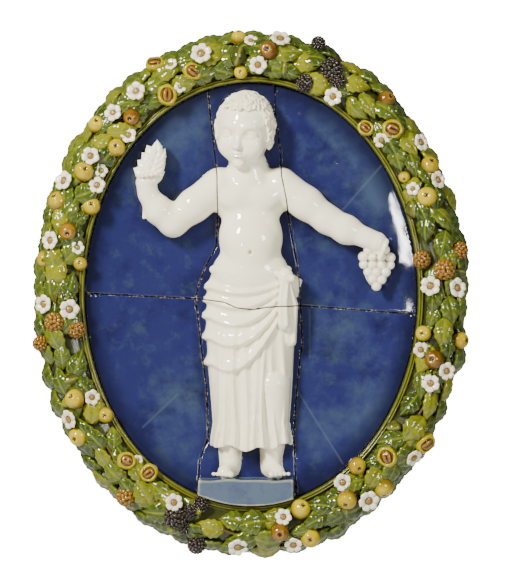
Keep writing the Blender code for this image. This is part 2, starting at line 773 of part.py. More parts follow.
def make_ledge(built):
    wide = LEDGE["right"] - LEDGE["left"]
    tall = LEDGE["top"] - LEDGE["bottom"]
    thick = LEDGE["depth"] - LEDGE["root"]
    middle = place(
        (LEDGE["left"] + LEDGE["right"]) / 2, (LEDGE["top"] + LEDGE["bottom"]) / 2, LEDGE["root"] + thick / 2)
    shape = Matrix.Diagonal((wide, thick, tall, 1.0))
    bmesh.ops.create_cube(built, size=1.0, matrix=Matrix.Translation(middle) @ shape)


def make_opening_block(built):
    # clears the frame's opening, so that the field sits in it with a gap
    bmesh.ops.create_cone(
        built, cap_ends=True, segments=OVAL_STEPS * 2, radius1=1.0, radius2=1.0, depth=2 * CUT_DEPTH)
    shape = Matrix.Diagonal((FIELD_HALF_WIDTH, FIELD_HALF_HEIGHT, 1.0, 1.0))
    built.transform(Matrix.Rotation(math.pi / 2, 4, "X") @ shape)


def make_wall_block(built):
    # cuts the frame's spare thickness off flat, where it meets the wall
    reach = 4.0 * FIELD_HALF_HEIGHT
    thick = 4.0 * FRAME_SPARE
    shape = Matrix.Diagonal((reach, thick, reach, 1.0))
    bmesh.ops.create_cube(built, size=1.0, matrix=Matrix.Translation((0.0, thick / 2, 0.0)) @ shape)


def make_frame(home, helpers):
    frame = object_from(make_garland, "garland_frame", home)
    soften(frame, FRAME_VOXEL, FRAME_TRIANGLES, FRAME_SMOOTHING)
    for maker in (make_opening_block, make_wall_block):
        cutter = object_from(maker, maker.__name__, helpers)
        boolean(frame, cutter, "DIFFERENCE")
        bpy.data.objects.remove(cutter, do_unlink=True)
    keep_largest(frame)
    frame.data.materials.append(glaze("garland_glaze", "garland"))


def main():
    clear_scene()
    home = new_collection("wall_plaque")
    helpers = new_collection("cutters")
    make_frame(home, helpers)
    make_field(home, helpers)


main()
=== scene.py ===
import math

import bmesh
import bpy
import numpy as np
from mathutils import Matrix, Vector


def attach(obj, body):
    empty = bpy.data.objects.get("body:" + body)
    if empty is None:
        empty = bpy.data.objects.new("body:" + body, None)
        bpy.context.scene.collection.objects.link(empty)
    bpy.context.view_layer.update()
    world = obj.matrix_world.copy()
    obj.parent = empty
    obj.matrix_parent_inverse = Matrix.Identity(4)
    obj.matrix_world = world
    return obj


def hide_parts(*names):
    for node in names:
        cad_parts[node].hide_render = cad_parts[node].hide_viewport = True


# Oval wall plaque of tin-glazed terracotta. X runs right, Z up, the front faces -Y, metres.
# A depth is a distance out from the flat back at y = 0.

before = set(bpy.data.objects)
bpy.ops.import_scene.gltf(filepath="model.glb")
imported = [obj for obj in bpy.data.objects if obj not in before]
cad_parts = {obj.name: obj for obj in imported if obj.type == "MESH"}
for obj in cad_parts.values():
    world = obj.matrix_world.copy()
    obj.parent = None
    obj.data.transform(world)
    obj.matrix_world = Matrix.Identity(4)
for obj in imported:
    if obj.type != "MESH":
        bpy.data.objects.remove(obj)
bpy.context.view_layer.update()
print("frame loaded")

oval = {
    "halfWidth": 0.348,       # of the field
    "halfHeight": 0.442,
    "clearance": 0.0012,      # round the field
    "pixel": 0.0021,          # metres to a pixel of the photo
    "middle": (251.2, 294.0),
}


def fromPhoto(px, py):
    return (px - oval["middle"][0]) * oval["pixel"], (oval["middle"][1] - py) * oval["pixel"]


def fieldReach(x, z):
    # 0 at the middle of the field, 1 at its edge
    return np.sqrt((x / oval["halfWidth"]) ** 2 + (z / oval["halfHeight"]) ** 2)


def addObject(name, data):
    item = bpy.data.objects.new(name, data)
    bpy.context.scene.collection.objects.link(item)
    return item


def ovalPoint(clock, out, depth):
    angle = math.radians(clock)
    x = (oval["halfWidth"] + out) * math.sin(angle)
    z = (oval["halfHeight"] + out) * math.cos(angle)
    return Vector((x, -depth, z))


def ovalAxes(clock):
    outward = (ovalPoint(clock, 0.05, 0.0) - ovalPoint(clock, 0.0, 0.0)).normalized()
    onward = (ovalPoint(clock + 0.5, 0.05, 0.0) - ovalPoint(clock - 0.5, 0.05, 0.0)).normalized()
    return outward, onward


def clockAndOut(x, z):
    # where a point lies round the band and how far out from the field's edge, closed in on step by step
    out = 0.05
    for _ in range(40):
        wide = oval["halfWidth"] + out
        tall = oval["halfHeight"] + out
        angle = math.atan2(x / wide, z / tall)
        edge = math.hypot(wide * math.sin(angle), tall * math.cos(angle))
        out += (math.hypot(x / wide, z / tall) - 1.0) * edge
    return math.degrees(angle) % 360.0, out


# Smooth noise on a lattice, the same each run

def noiseMap(x, z, size, seed):
    lattice = np.random.default_rng(seed).random((64, 64)).astype(np.float32)
    u = x / size + 17.0
    v = z / size + 17.0
    iu = np.floor(u).astype(int)
    iv = np.floor(v).astype(int)
    fu = u - iu
    fv = v - iv
    fu = fu * fu * (3.0 - 2.0 * fu)
    fv = fv * fv * (3.0 - 2.0 * fv)
    a = lattice[iu % 64, iv % 64]
    b = lattice[(iu + 1) % 64, iv % 64]
    c = lattice[iu % 64, (iv + 1) % 64]
    d = lattice[(iu + 1) % 64, (iv + 1) % 64]
    return (a * (1 - fu) + b * fu) * (1 - fv) + (c * (1 - fu) + d * fu) * fv - 0.5


# Solid modelling on a grid of distances

def smoothMin(a, b, soft):
    h = np.clip(0.5 + 0.5 * (b - a) / soft, 0.0, 1.0)
    return b + (a - b) * h - soft * h * (1.0 - h)


def smoothMax(a, b, soft):
    return -smoothMin(-a, -b, soft)


def makeVolume(low, high, voxel):
    axes = [np.arange(low[i], high[i] + voxel, voxel, dtype=np.float32) for i in range(3)]
    shape = [len(axis) for axis in axes]
    far = np.full(shape, 0.06, dtype=np.float32)
    return {"axes": axes, "voxel": voxel, "figure": far, "ledge": far.copy()}


def addShape(volume, layer, shape, low, high, soft, cut=False):
    margin = soft + 3.0 * volume["voxel"]
    spans = []
    for axis, start, end in zip(volume["axes"], low, high):
        first = int(np.searchsorted(axis, start - margin))
        last = int(np.searchsorted(axis, end + margin))
        if last <= first:
            return
        spans.append(slice(first, last))
    x = volume["axes"][0][spans[0]][:, None, None]
    d = volume["axes"][1][spans[1]][None, :, None]
    z = volume["axes"][2][spans[2]][None, None, :]
    block = volume[layer][tuple(spans)]
    distance = shape(x, d, z)
    if cut:
        volume[layer][tuple(spans)] = smoothMax(block, -distance, soft)
    else:
        volume[layer][tuple(spans)] = smoothMin(block, distance, soft)


def addTaper(volume, start, end, startRadius, endRadius, soft, layer="figure", cut=False):
    a = np.array(start, dtype=np.float32)
    b = np.array(end, dtype=np.float32)
    run = b - a
    length = float(run @ run) + 1e-12

    def shape(x, d, z):
        t = ((x - a[0]) * run[0] + (d - a[1]) * run[1] + (z - a[2]) * run[2]) / length
        t = np.clip(t, 0.0, 1.0)
        px = x - a[0] - t * run[0]
        pd = d - a[1] - t * run[1]
        pz = z - a[2] - t * run[2]
        return np.sqrt(px * px + pd * pd + pz * pz) - (startRadius + t * (endRadius - startRadius))

    radius = max(startRadius, endRadius)
    addShape(volume, layer, shape, np.minimum(a, b) - radius, np.maximum(a, b) + radius, soft, cut)


def addChain(volume, stations, soft, layer="figure"):
    # stations are x, z, depth, radius
    for (x, z, d, r), (x2, z2, d2, r2) in zip(stations, stations[1:]):
        addTaper(volume, (x, d, z), (x2, d2, z2), r, r2, soft, layer)


def addBall(volume, centre, radii, soft, turn=None, layer="figure", cut=False):
    # centre and radii are x, z, depth
    c = np.array((centre[0], centre[2], centre[1]), dtype=np.float32)
    r = np.array((radii[0], radii[2], radii[1]), dtype=np.float32)
    axes = np.eye(3, dtype=np.float32) if turn is None else turn

    def shape(x, d, z):
        px, pd, pz = x - c[0], d - c[1], z - c[2]
        q = [axes[0][i] * px + axes[1][i] * pd + axes[2][i] * pz for i in range(3)]
        k0 = np.sqrt((q[0] / r[0]) ** 2 + (q[1] / r[1]) ** 2 + (q[2] / r[2]) ** 2)
        k1 = np.sqrt((q[0] / r[0] ** 2) ** 2 + (q[1] / r[1] ** 2) ** 2 + (q[2] / r[2] ** 2) ** 2) + 1e-6
        return k0 * (k0 - 1.0) / k1

    reach = float(r.max())
    addShape(volume, layer, shape, c - reach, c + reach, soft, cut)


# A closed surface from a grid of distances, one vertex to a crossed cell

def surfaceNet(distance, axes, extra):
    inside = distance < 0.0
    corners = [(i, j, k) for i in (0, 1) for j in (0, 1) for k in (0, 1)]
    n = [size - 1 for size in distance.shape]
    total = np.zeros(n, dtype=np.int8)
    for i, j, k in corners:
        total += inside[i:i + n[0], j:j + n[1], k:k + n[2]]
    active = np.argwhere((total > 0) & (total < 8))
    index = np.full(n, -1, dtype=np.int32)
    index[active[:, 0], active[:, 1], active[:, 2]] = np.arange(len(active))
    values = {c: distance[active[:, 0] + c[0], active[:, 1] + c[1], active[:, 2] + c[2]] for c in corners}
    place = np.zeros((len(active), 3))
    count = np.zeros(len(active))
    for c in corners:
        for axis in range(3):
            if c[axis]:
                continue
            other = tuple(1 if i == axis else c[i] for i in range(3))
            a, b = values[c], values[other]
            crossed = (a < 0) != (b < 0)
            share = np.where(crossed, a / np.where(crossed, a - b, 1.0), 0.0)
            spot = np.tile(np.array(c, dtype=float), (len(active), 1))
            spot[:, axis] = share
            place += spot * crossed[:, None]
            count += crossed
    place /= count[:, None]
    voxel = float(axes[0][1] - axes[0][0])
    start = np.array([axes[0][0], axes[1][0], axes[2][0]])
    points = start + (active + place) * voxel
    sampled = {}
    for name, layer in extra.items():
        total = np.zeros(len(active))
        for c in corners:
            share = np.prod(np.where(np.array(c) == 1, place, 1.0 - place), axis=1)
            total += share * layer[active[:, 0] + c[0], active[:, 1] + c[1], active[:, 2] + c[2]]
        sampled[name] = total
    quads = []
    for axis in range(3):
        u, v = (axis + 1) % 3, (axis + 2) % 3
        near = [slice(None)] * 3
        far = [slice(None)] * 3
        near[axis] = slice(0, -1)
        far[axis] = slice(1, None)
        crossed = inside[tuple(near)] != inside[tuple(far)]
        spots = np.argwhere(crossed)
        keep = (spots[:, u] > 0) & (spots[:, u] < n[u]) & (spots[:, v] > 0) & (spots[:, v] < n[v])
        spots = spots[keep]
        cells = []
        for du, dv in ((-1, -1), (0, -1), (0, 0), (-1, 0)):
            cell = spots.copy()
            cell[:, u] += du
            cell[:, v] += dv
            cells.append(index[cell[:, 0], cell[:, 1], cell[:, 2]])
        quad = np.stack(cells, axis=1)
        flip = ~inside[spots[:, 0], spots[:, 1], spots[:, 2]]
        quad[flip] = quad[flip][:, ::-1]
        quads.append(quad)
    return points, np.concatenate(quads), sampled


# The field's sections: joint lines as points (x, z)

joints = {
    "gap": 0.0021,          # at the front
    "overlap": 0.0010,      # how far the sections run into each other behind the lip
    "lip": 0.0035,
    "chip": (0.013, 0.32, 0.010),   # size of the chips in the edge, how rare they are, how deep
    "round": 0.0014,
    "leftUpper": ((-0.094, 0.460), (-0.084, 0.360), (-0.071, 0.245), (-0.070, 0.175),
                  (-0.074, 0.100), (-0.098, 0.055), (-0.112, 0.015), (-0.118, -0.0095)),
    "rightUpper": ((0.050, 0.460), (0.050, 0.384), (0.061, 0.300), (0.064, 0.245),
                   (0.073, 0.200), (0.084, 0.130), (0.098, 0.057), (0.104, -0.0244)),
    "level": ((-0.370, 0.0025), (-0.225, -0.005), (-0.118, -0.0095), (-0.057, -0.017), (-0.030, -0.029),
              (0.006, -0.0325), (0.035, -0.0275), (0.104, -0.0244), (0.325, -0.041), (0.370, -0.044)),
    "leftLower": ((-0.118, -0.0095), (-0.108, -0.090), (-0.094, -0.200), (-0.090, -0.300),
                  (-0.108, -0.350), (-0.116, -0.470)),
    "rightLower": ((0.104, -0.0244), (0.108, -0.100), (0.096, -0.200), (0.090, -0.300),
                   (0.092, -0.350), (0.096, -0.470)),
}

dish = {
    "centreDepth": 0.030,
    "edgeDepth": 0.075,
    "power": 2.4,
    "root": 0.021,          # the fine surface starts here, and runs straight back from it
    "waver": 0.0012,        # how uneven the pressed ground is, and over what length
    "waverSize": 0.070,
    "grooves": (            # fine lines glazed over, as read in the photo
        ((381, 166), (344, 208.5)), ((344, 208.5), (331, 218)), ((295, 387), (342.5, 463)),
        ((178, 394), (143, 427)), ((310, 310), (310, 357)),
    ),
    "grooveWidth": 0.0034,
    "grooveDepth": 0.00016,
    "blooms": (             # paler places in the blue: pixel across, pixel down, width in pixels, strength
        (175, 125, 34, 0.8), (140, 165, 26, 0.6), (385, 190, 24, 1.5), (352, 150, 30, 0.5),
        (330, 120, 20, 0.5), (180, 400, 30, 0.6), (340, 330, 34, 0.5), (385, 400, 26, 0.5),
        (320, 430, 26, 0.6), (362, 418, 22, 0.5), (165, 455, 22, 0.5), (330, 235, 26, 0.4),
    ),
    "pinholes": ((299, 115), (309, 358), (335, 163)),
    "pinholeWidth": 0.0022,
    "pinholeDepth": 0.002,
    "fillet": 0.005,        # where the figure grows out of the ground
    "noiseSeed": 3,
}


def dishDepth(x, z):
    rise = dish["edgeDepth"] - dish["centreDepth"]
    return dish["centreDepth"] + rise * np.minimum(fieldReach(x, z), 1.1) ** dish["power"]


def lineDistance(x, z, start, end):
    ax, az = start
    run = (end[0] - ax, end[1] - az)
    t = np.clip(((x - ax) * run[0] + (z - az) * run[1]) / (run[0] ** 2 + run[1] ** 2), 0.0, 1.0)
    return np.hypot(x - ax - t * run[0], z - az - t * run[1])


def jointDistance(x, z, names):
    nearest = np.full(np.broadcast(x, z).shape, 1.0, dtype=np.float32)
    for name in names:
        line = joints[name]
        for start, end in zip(line, line[1:]):
            nearest = np.minimum(nearest, lineDistance(x, z, start, end))
    return nearest


def sectionSide(x, z, level, side):
    # distance into the section, positive inside: upper or lower; left, centre or right
    across, heights = zip(*joints["level"])
    within = z > np.interp(x, across, heights)
    if level == "lower":
        within = ~within
    names = ["level"]
    for edge, beyond in (("left", np.less), ("right", np.greater)):
        if side not in (edge, "centre"):
            continue
        name = edge + level.capitalize()
        across, heights = zip(*joints[name][::-1])
        past = beyond(x, np.interp(z, heights, across))
        within = within & (past if side == edge else ~past)
        names.append(name)
    distance = jointDistance(x, z, names)
    return np.where(within, distance, -distance)


# The child: stations are x, z, depth, radius

body = {
    "soft": 0.012,
    "neck": ((-0.010, 0.290, 0.064, 0.036), (-0.005, 0.246, 0.054, 0.046)),
    "trunk": (  # x, z, depth, then radii across, up, out
        (-0.003, 0.202, 0.052, 0.080, 0.062, 0.045),
        (-0.001, 0.118, 0.056, 0.067, 0.078, 0.051),
        (-0.002, 0.046, 0.056, 0.080, 0.060, 0.047),
    ),
    "raisedArm": (
        (-0.066, 0.228, 0.056, 0.038), (-0.120, 0.186, 0.064, 0.034), (-0.164, 0.150, 0.066, 0.029),
        (-0.194, 0.176, 0.074, 0.029), (-0.215, 0.208, 0.082, 0.019), (-0.219, 0.232, 0.088, 0.022),
    ),
    "loweredArm": (
        (0.062, 0.228, 0.056, 0.038), (0.116, 0.190, 0.064, 0.034), (0.160, 0.156, 0.068, 0.029),
        (0.200, 0.134, 0.078, 0.029), (0.238, 0.118, 0.086, 0.019), (0.262, 0.108, 0.088, 0.022),
    ),
    "legs": (
        ((-0.042, -0.190, 0.056, 0.036), (-0.044, -0.280, 0.052, 0.031), (-0.044, -0.350, 0.052, 0.020)),
        ((0.046, -0.190, 0.064, 0.036), (0.046, -0.280, 0.056, 0.031), (0.042, -0.350, 0.054, 0.020)),
    ),
    "heels": ((-0.044, -0.364, 0.056, 0.019), (0.042, -0.364, 0.056, 0.019)),
    "toes": ((-0.055, -0.374, 0.092, 0.012), (0.055, -0.374, 0.090, 0.012)),
    "toe": (0.0072, 0.0007, 0.0088),  # radius of the great toe, how much less each is, how far apart
    "breasts": (-0.034, 0.028),
    "breast": (0.202, 0.084, 0.030, 0.022, 0.015),
    "belly": (-0.002, 0.104, 0.088, 0.046, 0.046, 0.022),
    "navel": (-0.002, 0.086, 0.1105, 0.0042, 0.0052, 0.008),
    "crease": (-0.036, 0.032, 0.166, 0.108, 0.0014),
}

head = {
    "centre": (-0.013, 0.340, 0.082),
    "turn": -14.0,
    "nod": 8.0,
    "roll": 5.0,
    "unit": 0.001,                    # the face below is laid out in millimetres
    "skull": (57.5, 70.0, 59.0),      # radii across, up, out
    "skullUp": 7.6,
    "skullOut": -3.0,
    "middle": (0.0, 0.0),             # landmarks, across and up, in textbook proportions
    "eye": (25.0, -6.0),
    "nose": (0.0, -33.0),
    "mouth": (0.0, -46.0),
    "chin": (0.0, -66.0),
}

features = {
    # across, up and out from a landmark, then radii across, up and out, and softness, in millimetres
    "skull": ("middle", (0, head["skullUp"], head["skullOut"]), head["skull"], 10),
    "jaw": ("middle", (0, -33, 15), (40, 37, 37), 16),
    "cheek": ("middle", (25, -29, 30), (23, 22, 20), 14),
    "socket": ("eye", (0, -1, 54), (15, 9.5, 9.5), 7),
    "eyeball": ("eye", (0, 0, 38.5), (11.5, 10.5, 10.5), 1.5),
    "pupil": ("eye", (0, 0.5, 49.6), (2.3, 2.6, 1.4), 1.0),
    "wing": ("nose", (6.6, 2.0, 55), (4.8, 4.4, 5.2), 3),
    "nostril": ("nose", (4.2, -1.6, 60), (2.2, 1.8, 3.0), 1.0),
    "corner": ("mouth", (12.5, 0, 54), (3, 2.4, 3), 4),
    "ear": ("middle", (56, -9, 3), (4, 9, 5), 4),
    "noseTip": ("nose", (0, 3.5, 61), (7.4, 6.4, 7.2), 3),
    "lips": ("mouth", (0, 1, 45.5), (16, 11, 9), 7),
    "underLip": ("mouth", (0, -9.5, 55), (11, 3.2, 5), 4),
    "chin": ("chin", (0, 0, 37), (14, 10, 13), 8),
    "pressedIn": ("socket", "pupil", "nostril", "corner", "underLip"),
    # eyelids: half width, height, rise, out, bow, thickness
    "lids": ((12, 1, 5.6, 48.5, 5.5, 1.9), (11.5, -1, -4.2, 47.2, 5.0, 1.3)),
    "browUp": 8.0,
    "browThick": (4.2, 4.0, 3.6, 3.0, 2.2),
    "earRim": (3.4, 3.6, 3.6, 3.4, 3.4, 4.0),
    # the bridge of the nose and the lips: spots from the landmark and thickness
    "bridge": ("nose", ((0, 39, 50), (0, 19, 54), (0, 6, 57.5)), (4.0, 4.6, 6.2), 5),
    "upperLip": ("mouth", ((0, 2.6, 55.6), (5, 3.2, 55), (11.5, 0, 51)), (2.6, 2.5, 1.2), 2),
    "lowerLip": ("mouth", ((-5.5, -3.6, 54.0), (5.5, -3.6, 54.0)), (3.1, 3.1), 3),
    "slit": 12.0,
}


def headAxes():
    turn = Matrix.Rotation(math.radians(head["turn"]), 3, "Z")
    nod = Matrix.Rotation(math.radians(head["nod"]), 3, "X")
    roll = Matrix.Rotation(math.radians(head["roll"]), 3, "Y")
    whole = roll @ turn @ nod
    # columns are across, out and up, each written as x, depth, z
    columns = [whole @ Vector((1, 0, 0)), whole @ Vector((0, -1, 0)), whole @ Vector((0, 0, 1))]
    rows = [[c.x for c in columns], [-c.y for c in columns], [c.z for c in columns]]
    return np.array(rows, dtype=np.float32)


def headSpot(across, up, out):
    spot = head["unit"] * (headAxes() @ np.array((across, out, up)))
    return head["centre"][0] + spot[0], head["centre"][1] + spot[2], head["centre"][2] + spot[1]


def headBall(volume, spot, radii, soft, cut=False):
    size = [radius * head["unit"] for radius in radii]
    addBall(volume, headSpot(*spot), size, soft * head["unit"], headAxes(), "figure", cut)


def headBar(volume, spots, radii, soft, cut=False):
    places = [headSpot(*spot) for spot in spots]
    for (x, z, d), (x2, z2, d2), r, r2 in zip(places, places[1:], radii, radii[1:]):
        addTaper(volume, (x, d, z), (x2, d2, z2), r * head["unit"], r2 * head["unit"],
                 soft * head["unit"], "figure", cut)


def faceBalls(volume, names, side=1):
    for name in names:
        landmark, spot, radii, soft = features[name]
        across, up = head[landmark]
        spot = (side * (across + spot[0]), up + spot[1], spot[2])
        headBall(volume, spot, radii, soft, name in features["pressedIn"])


def faceBar(volume, name, side=1):
    landmark, spots, radii, soft = features[name]
    across, up = head[landmark]
    headBar(volume, [(side * (across + s[0]), up + s[1], s[2]) for s in spots], radii, soft)


def addHead(volume):
    faceBalls(volume, ("skull", "jaw"))
    across, up = head["eye"]
    for side in (-1, 1):
        faceBalls(volume, ("cheek", "socket", "eyeball"), side)
        for wide, height, rise, out, bow, thick in features["lids"]:
            lid = [(side * across + wide * math.cos(a), up + height + rise * math.sin(a),
                    out - bow * math.cos(a) ** 2) for a in np.linspace(0.0, math.pi, 8)]
            headBar(volume, lid, [thick] * 8, 1.5)
        faceBalls(volume, ("pupil",), side)
        brow = [(side * (9 + 30 * t),
                 features["browUp"] + 5 * math.sin(math.pi * (0.15 + 0.75 * t)),
                 52 - 15 * t * t) for t in np.linspace(0, 1, 5)]
        headBar(volume, brow, features["browThick"], 7)
        faceBalls(volume, ("wing", "nostril", "corner"), side)
        rim = [(side * (56 + 4 * math.sin(a)), -8 - 13 * math.cos(a), 4 - 4 * math.cos(a))
               for a in np.linspace(0, math.pi, 6)]
        headBar(volume, rim, features["earRim"], 3)
        faceBalls(volume, ("ear",), side)
    faceBar(volume, "bridge")
    faceBalls(volume, ("noseTip", "lips"))
    for side in (-1, 1):
        faceBar(volume, "upperLip", side)
    faceBar(volume, "lowerLip")
    wide, mouth = features["slit"], head["mouth"][1]
    slit = [(x, mouth - 0.5 * math.cos(math.pi * x / (2 * wide)), 57.5 - 0.032 * x * x)
            for x in np.linspace(-wide, wide, 5)]
    headBar(volume, slit, [1.5] * 5, 1.0, True)
    faceBalls(volume, ("underLip", "chin"))
    addHairCap(volume)
    addCurls(volume)


hair = {
    "thick": 4.0,         # the cap of hair over the skull, millimetres
    "groove": 1.7,
    "locks": 13.0,
    "fringe": 47.0,       # height of the hairline over the brow, and at the sides
    "temple": -30.0,
    "curls": 84,
    "curl": 8.4,
    "seed": 12,
}


def hairline(outward):
    share = np.clip((outward - 0.18) / 0.50, 0.0, 1.0)
    return hair["temple"] + (hair["fringe"] - hair["temple"]) * share * share * (3.0 - 2.0 * share)


def addHairCap(volume):
    # short hair combed out from the crown in wavy locks
    wide, tall, deep = head["skull"]
    axes = headAxes()
    cx, cz, cd = head["centre"]

    def shape(x, d, z):
        px, pd, pz = (x - cx) / head["unit"], (d - cd) / head["unit"], (z - cz) / head["unit"]
        across, out, up = [axes[0][i] * px + axes[1][i] * pd + axes[2][i] * pz for i in range(3)]
        rise = (up - head["skullUp"]) / tall
        forward = (out - head["skullOut"]) / deep
        reach = np.sqrt((across / wide) ** 2 + rise ** 2 + forward ** 2) + 1e-6
        around = np.arctan2(forward, across / wide)
        wave = around * hair["locks"] + 1.6 * np.sin(rise * 7.0 + 2.0 * around)
        ridge = 1.0 - np.abs(np.sin(wave)) * 1.3
        fine = 0.35 * np.sin(wave * 5.0 + 1.5 * np.sin(rise * 17.0))
        surface = (reach - 1.0) * 58.0 - hair["thick"] - hair["groove"] * (ridge + fine)
        edge = hairline(forward / reach) - up + 3.0 * np.sin(around * 9.0)
        return smoothMax(surface, edge * 0.7, 3.0) * head["unit"]

    reach = 0.085
    low = (cx - reach, cd - reach, cz - reach)
    high = (cx + reach, cd + reach, cz + reach)
    addShape(volume, "figure", shape, low, high, 0.001)


def addCurls(volume):
    # loose curls lying on the cap, thickest along the hairline
    wide, tall, deep = head["skull"]
    random = np.random.default_rng(hair["seed"])
    made = 0
    while made < hair["curls"]:
        side = Vector(random.normal(size=3)).normalized()
        line = float(hairline(side.y))
        height = head["skullUp"] + side.z * tall
        if height < line + 1.0 or side.y < -0.35:
            continue
        if height > line + 16.0 and random.random() < 0.55:
            continue
        made += 1
        base = Vector((side.x * wide, side.y * deep + head["skullOut"], height)) + side * hair["thick"]
        downward = (Vector((0, 0, -1)) + side * side.z).normalized()
        across = side.cross(downward).normalized()
        handed = 1.0 if random.random() < 0.5 else -1.0
        size = hair["curl"] * random.uniform(0.75, 1.15)
        lean = random.uniform(-0.9, 0.9)
        spots = []
        radii = []
        for step in range(9):
            t = step / 8.0
            angle = lean + handed * 4.4 * t
            radius = size * (1.0 - 0.66 * t)
            spot = base + across * (math.cos(angle) * radius) + downward * (math.sin(angle) * radius)
            spot = spot + side * (1.6 * math.sin(math.pi * t))
            spots.append((spot.x, spot.z, spot.y))
            radii.append(2.7 - 1.3 * t)
        headBar(volume, spots, radii, 1.6)


cloth = {
    "heights": (0.056, 0.010, -0.070, -0.170, -0.270, -0.322),
    "halfWidths": (0.080, 0.090, 0.094, 0.086, 0.076, 0.082),
    "centre": -0.001,
    "back": 0.046,
    "out": 0.045,
    "hem": -0.326,
    "waist": 0.058,
    "shell": 0.0075,          # how thick it is at the hem
    "hemWave": 0.004,
    "uprights": (-0.90, -0.66, -0.42, -0.16, 0.10, 0.36, 0.62, 0.86),
    "upright": (0.085, 0.0150),         # width as a share of the half width, height in metres
    "uprightVaries": (0.02, 0.0025),
    "swags": (0.022, 0.050, 0.084, 0.128, 0.182),
    "swag": (0.0135, 0.0052, 0.0130),   # how soft it is above and below its crest, height
    "sag": (0.020, 0.011),
    "roll": (0.0072, 0.0012),           # radius of the rolled top edge and how much it varies
    "from": (-0.115, 0.0, -0.345),
    "to": (0.113, 0.125, 0.070),
    "knot": (0.072, 0.036, 0.090, 0.016),
    "tails": (  # x, z, depth from the knot, then radius
        ((0.000, 0.000, 0.000, 0.009), (0.014, -0.060, -0.016, 0.012), (0.010, -0.135, -0.026, 0.013)),
        ((0.000, 0.000, 0.000, 0.009), (-0.006, -0.050, 0.004, 0.011), (-0.004, -0.100, -0.002, 0.012)),
    ),
}


def clothHalfWidth(z):
    return np.interp(z, cloth["heights"][::-1], cloth["halfWidths"][::-1])


def foldHeight(across, z):
    # how far the cloth stands out in its folds
    down = np.clip((-0.060 - z) / 0.24, 0.0, 1.0)
    lift = np.zeros(np.broadcast(across, z).shape, dtype=np.float32)
    for number, spot in enumerate(cloth["uprights"]):
        centre = spot * (0.80 + 0.22 * down) + 0.06 * np.sin(3.2 * down + 1.7 * number)
        width = cloth["upright"][0] + cloth["uprightVaries"][0] * math.sin(2.1 * number)
        rise = cloth["upright"][1] + cloth["uprightVaries"][1] * math.sin(4.0 * number)
        away = np.abs(across - centre) / width
        lift += rise * down ** 0.7 * np.exp(-away ** 1.6)
    share = np.clip((0.86 - across) / 1.78, 0.0, 1.0)
    above, below, rise = cloth["swag"]
    for number, drop in enumerate(cloth["swags"]):
        sag = 4.0 * share * (1.0 - share) * (cloth["sag"][0] + cloth["sag"][1] * number)
        height = cloth["knot"][1] - drop * (0.22 + 0.78 * share) - sag
        away = (z - height) / np.where(z > height, above, below)
        swell = 0.35 + 0.65 * np.sin(math.pi * np.clip(share, 0.04, 0.96))
        lift += rise * swell * np.exp(-away * away)
    return lift


def addCloth(volume):
    back, out = cloth["back"], cloth["out"]

    def shape(x, d, z):
        wide = clothHalfWidth(z)
        across = (x - cloth["centre"]) / wide
        ring = np.sqrt(across ** 2 + ((d - back) / out) ** 2)
        distance = (ring - 1.0) * 0.052 - foldHeight(np.clip(across, -1.2, 1.2), z)
        hem = cloth["hem"] + cloth["hemWave"] * np.sin(9.0 * across) + 0.010 * np.abs(across)
        hollow = np.where(z < cloth["hem"] + 0.035, -(distance + cloth["shell"]), -1.0)
        distance = smoothMax(distance, hollow, 0.003)
        distance = smoothMax(distance, hem - z, 0.003)
        waist = cloth["waist"] - 0.008 * (1.0 - across ** 2)
        return smoothMax(distance, z - waist, 0.004)

    addShape(volume, "figure", shape, cloth["from"], cloth["to"], 0.003)
    roll = []
    for step in range(13):
        across = 0.97 - 1.94 * step / 12
        wide = float(clothHalfWidth(0.050))
        depth = back + out * math.sqrt(max(0.0, 1.0 - across * across)) + 0.002
        height = 0.052 - 0.010 * (1.0 - across * across)
        radius = cloth["roll"][0] + cloth["roll"][1] * math.sin(2.3 * step)
        roll.append((cloth["centre"] + across * wide, height, depth, radius))
    addChain(volume, roll, 0.004)
    x, z, depth, radius = cloth["knot"]
    addBall(volume, (x, z, depth), (radius, radius * 1.15, radius), 0.004)
    band = ((x - 0.018, z + 0.006, depth, 0.007), (x + 0.012, z - 0.004, depth + 0.009, 0.008))
    addChain(volume, band, 0.002)
    for tail in cloth["tails"]:
        addChain(volume, [(x + dx, z + dz, depth + dd, r) for dx, dz, dd, r in tail], 0.003)
        for side in (-0.5, 0.5):
            addChain(volume, [(x + dx + side * r, z + dz, depth + dd + r * 0.75, r * 0.34)
                              for dx, dz, dd, r in tail], 0.002)


hands = {
    "palm": (0.0175, 0.0175, 0.013), "finger": 0.0062, "spread": 0.0098,
    "joints": (0.014, 0.010, 0.015, -0.004),   # toward the tips and into the curl, first for one joint
    "thumb": (0.014, 0.012, 0.0070, 0.0056),   # how far across and along it goes, and its two radii
}


def addHand(volume, wrist, knuckles, curl, thumbSide):
    toward = (knuckles - wrist).normalized()
    across = toward.cross(Vector((0.0, 1.0, 0.0))).normalized()
    middle = (wrist + knuckles) / 2
    addBall(volume, (middle.x, middle.z, middle.y), hands["palm"], 0.006)
    thick = hands["finger"]
    along, inward, further, back = hands["joints"]
    for finger in range(4):
        base = knuckles + across * (finger - 1.5) * hands["spread"]
        joint = base + toward * along + curl * inward
        tip = joint + curl * further + toward * back
        addTaper(volume, tuple(base), tuple(joint), thick, thick * 0.9, 0.0015)
        addTaper(volume, tuple(joint), tuple(tip), thick * 0.9, thick * 0.72, 0.0012)
    reach, inward, thick, thin = hands["thumb"]
    root = middle + across * thumbSide * reach
    addTaper(volume, tuple(root), tuple(root + toward * reach + curl * inward), thick, thin, 0.002)


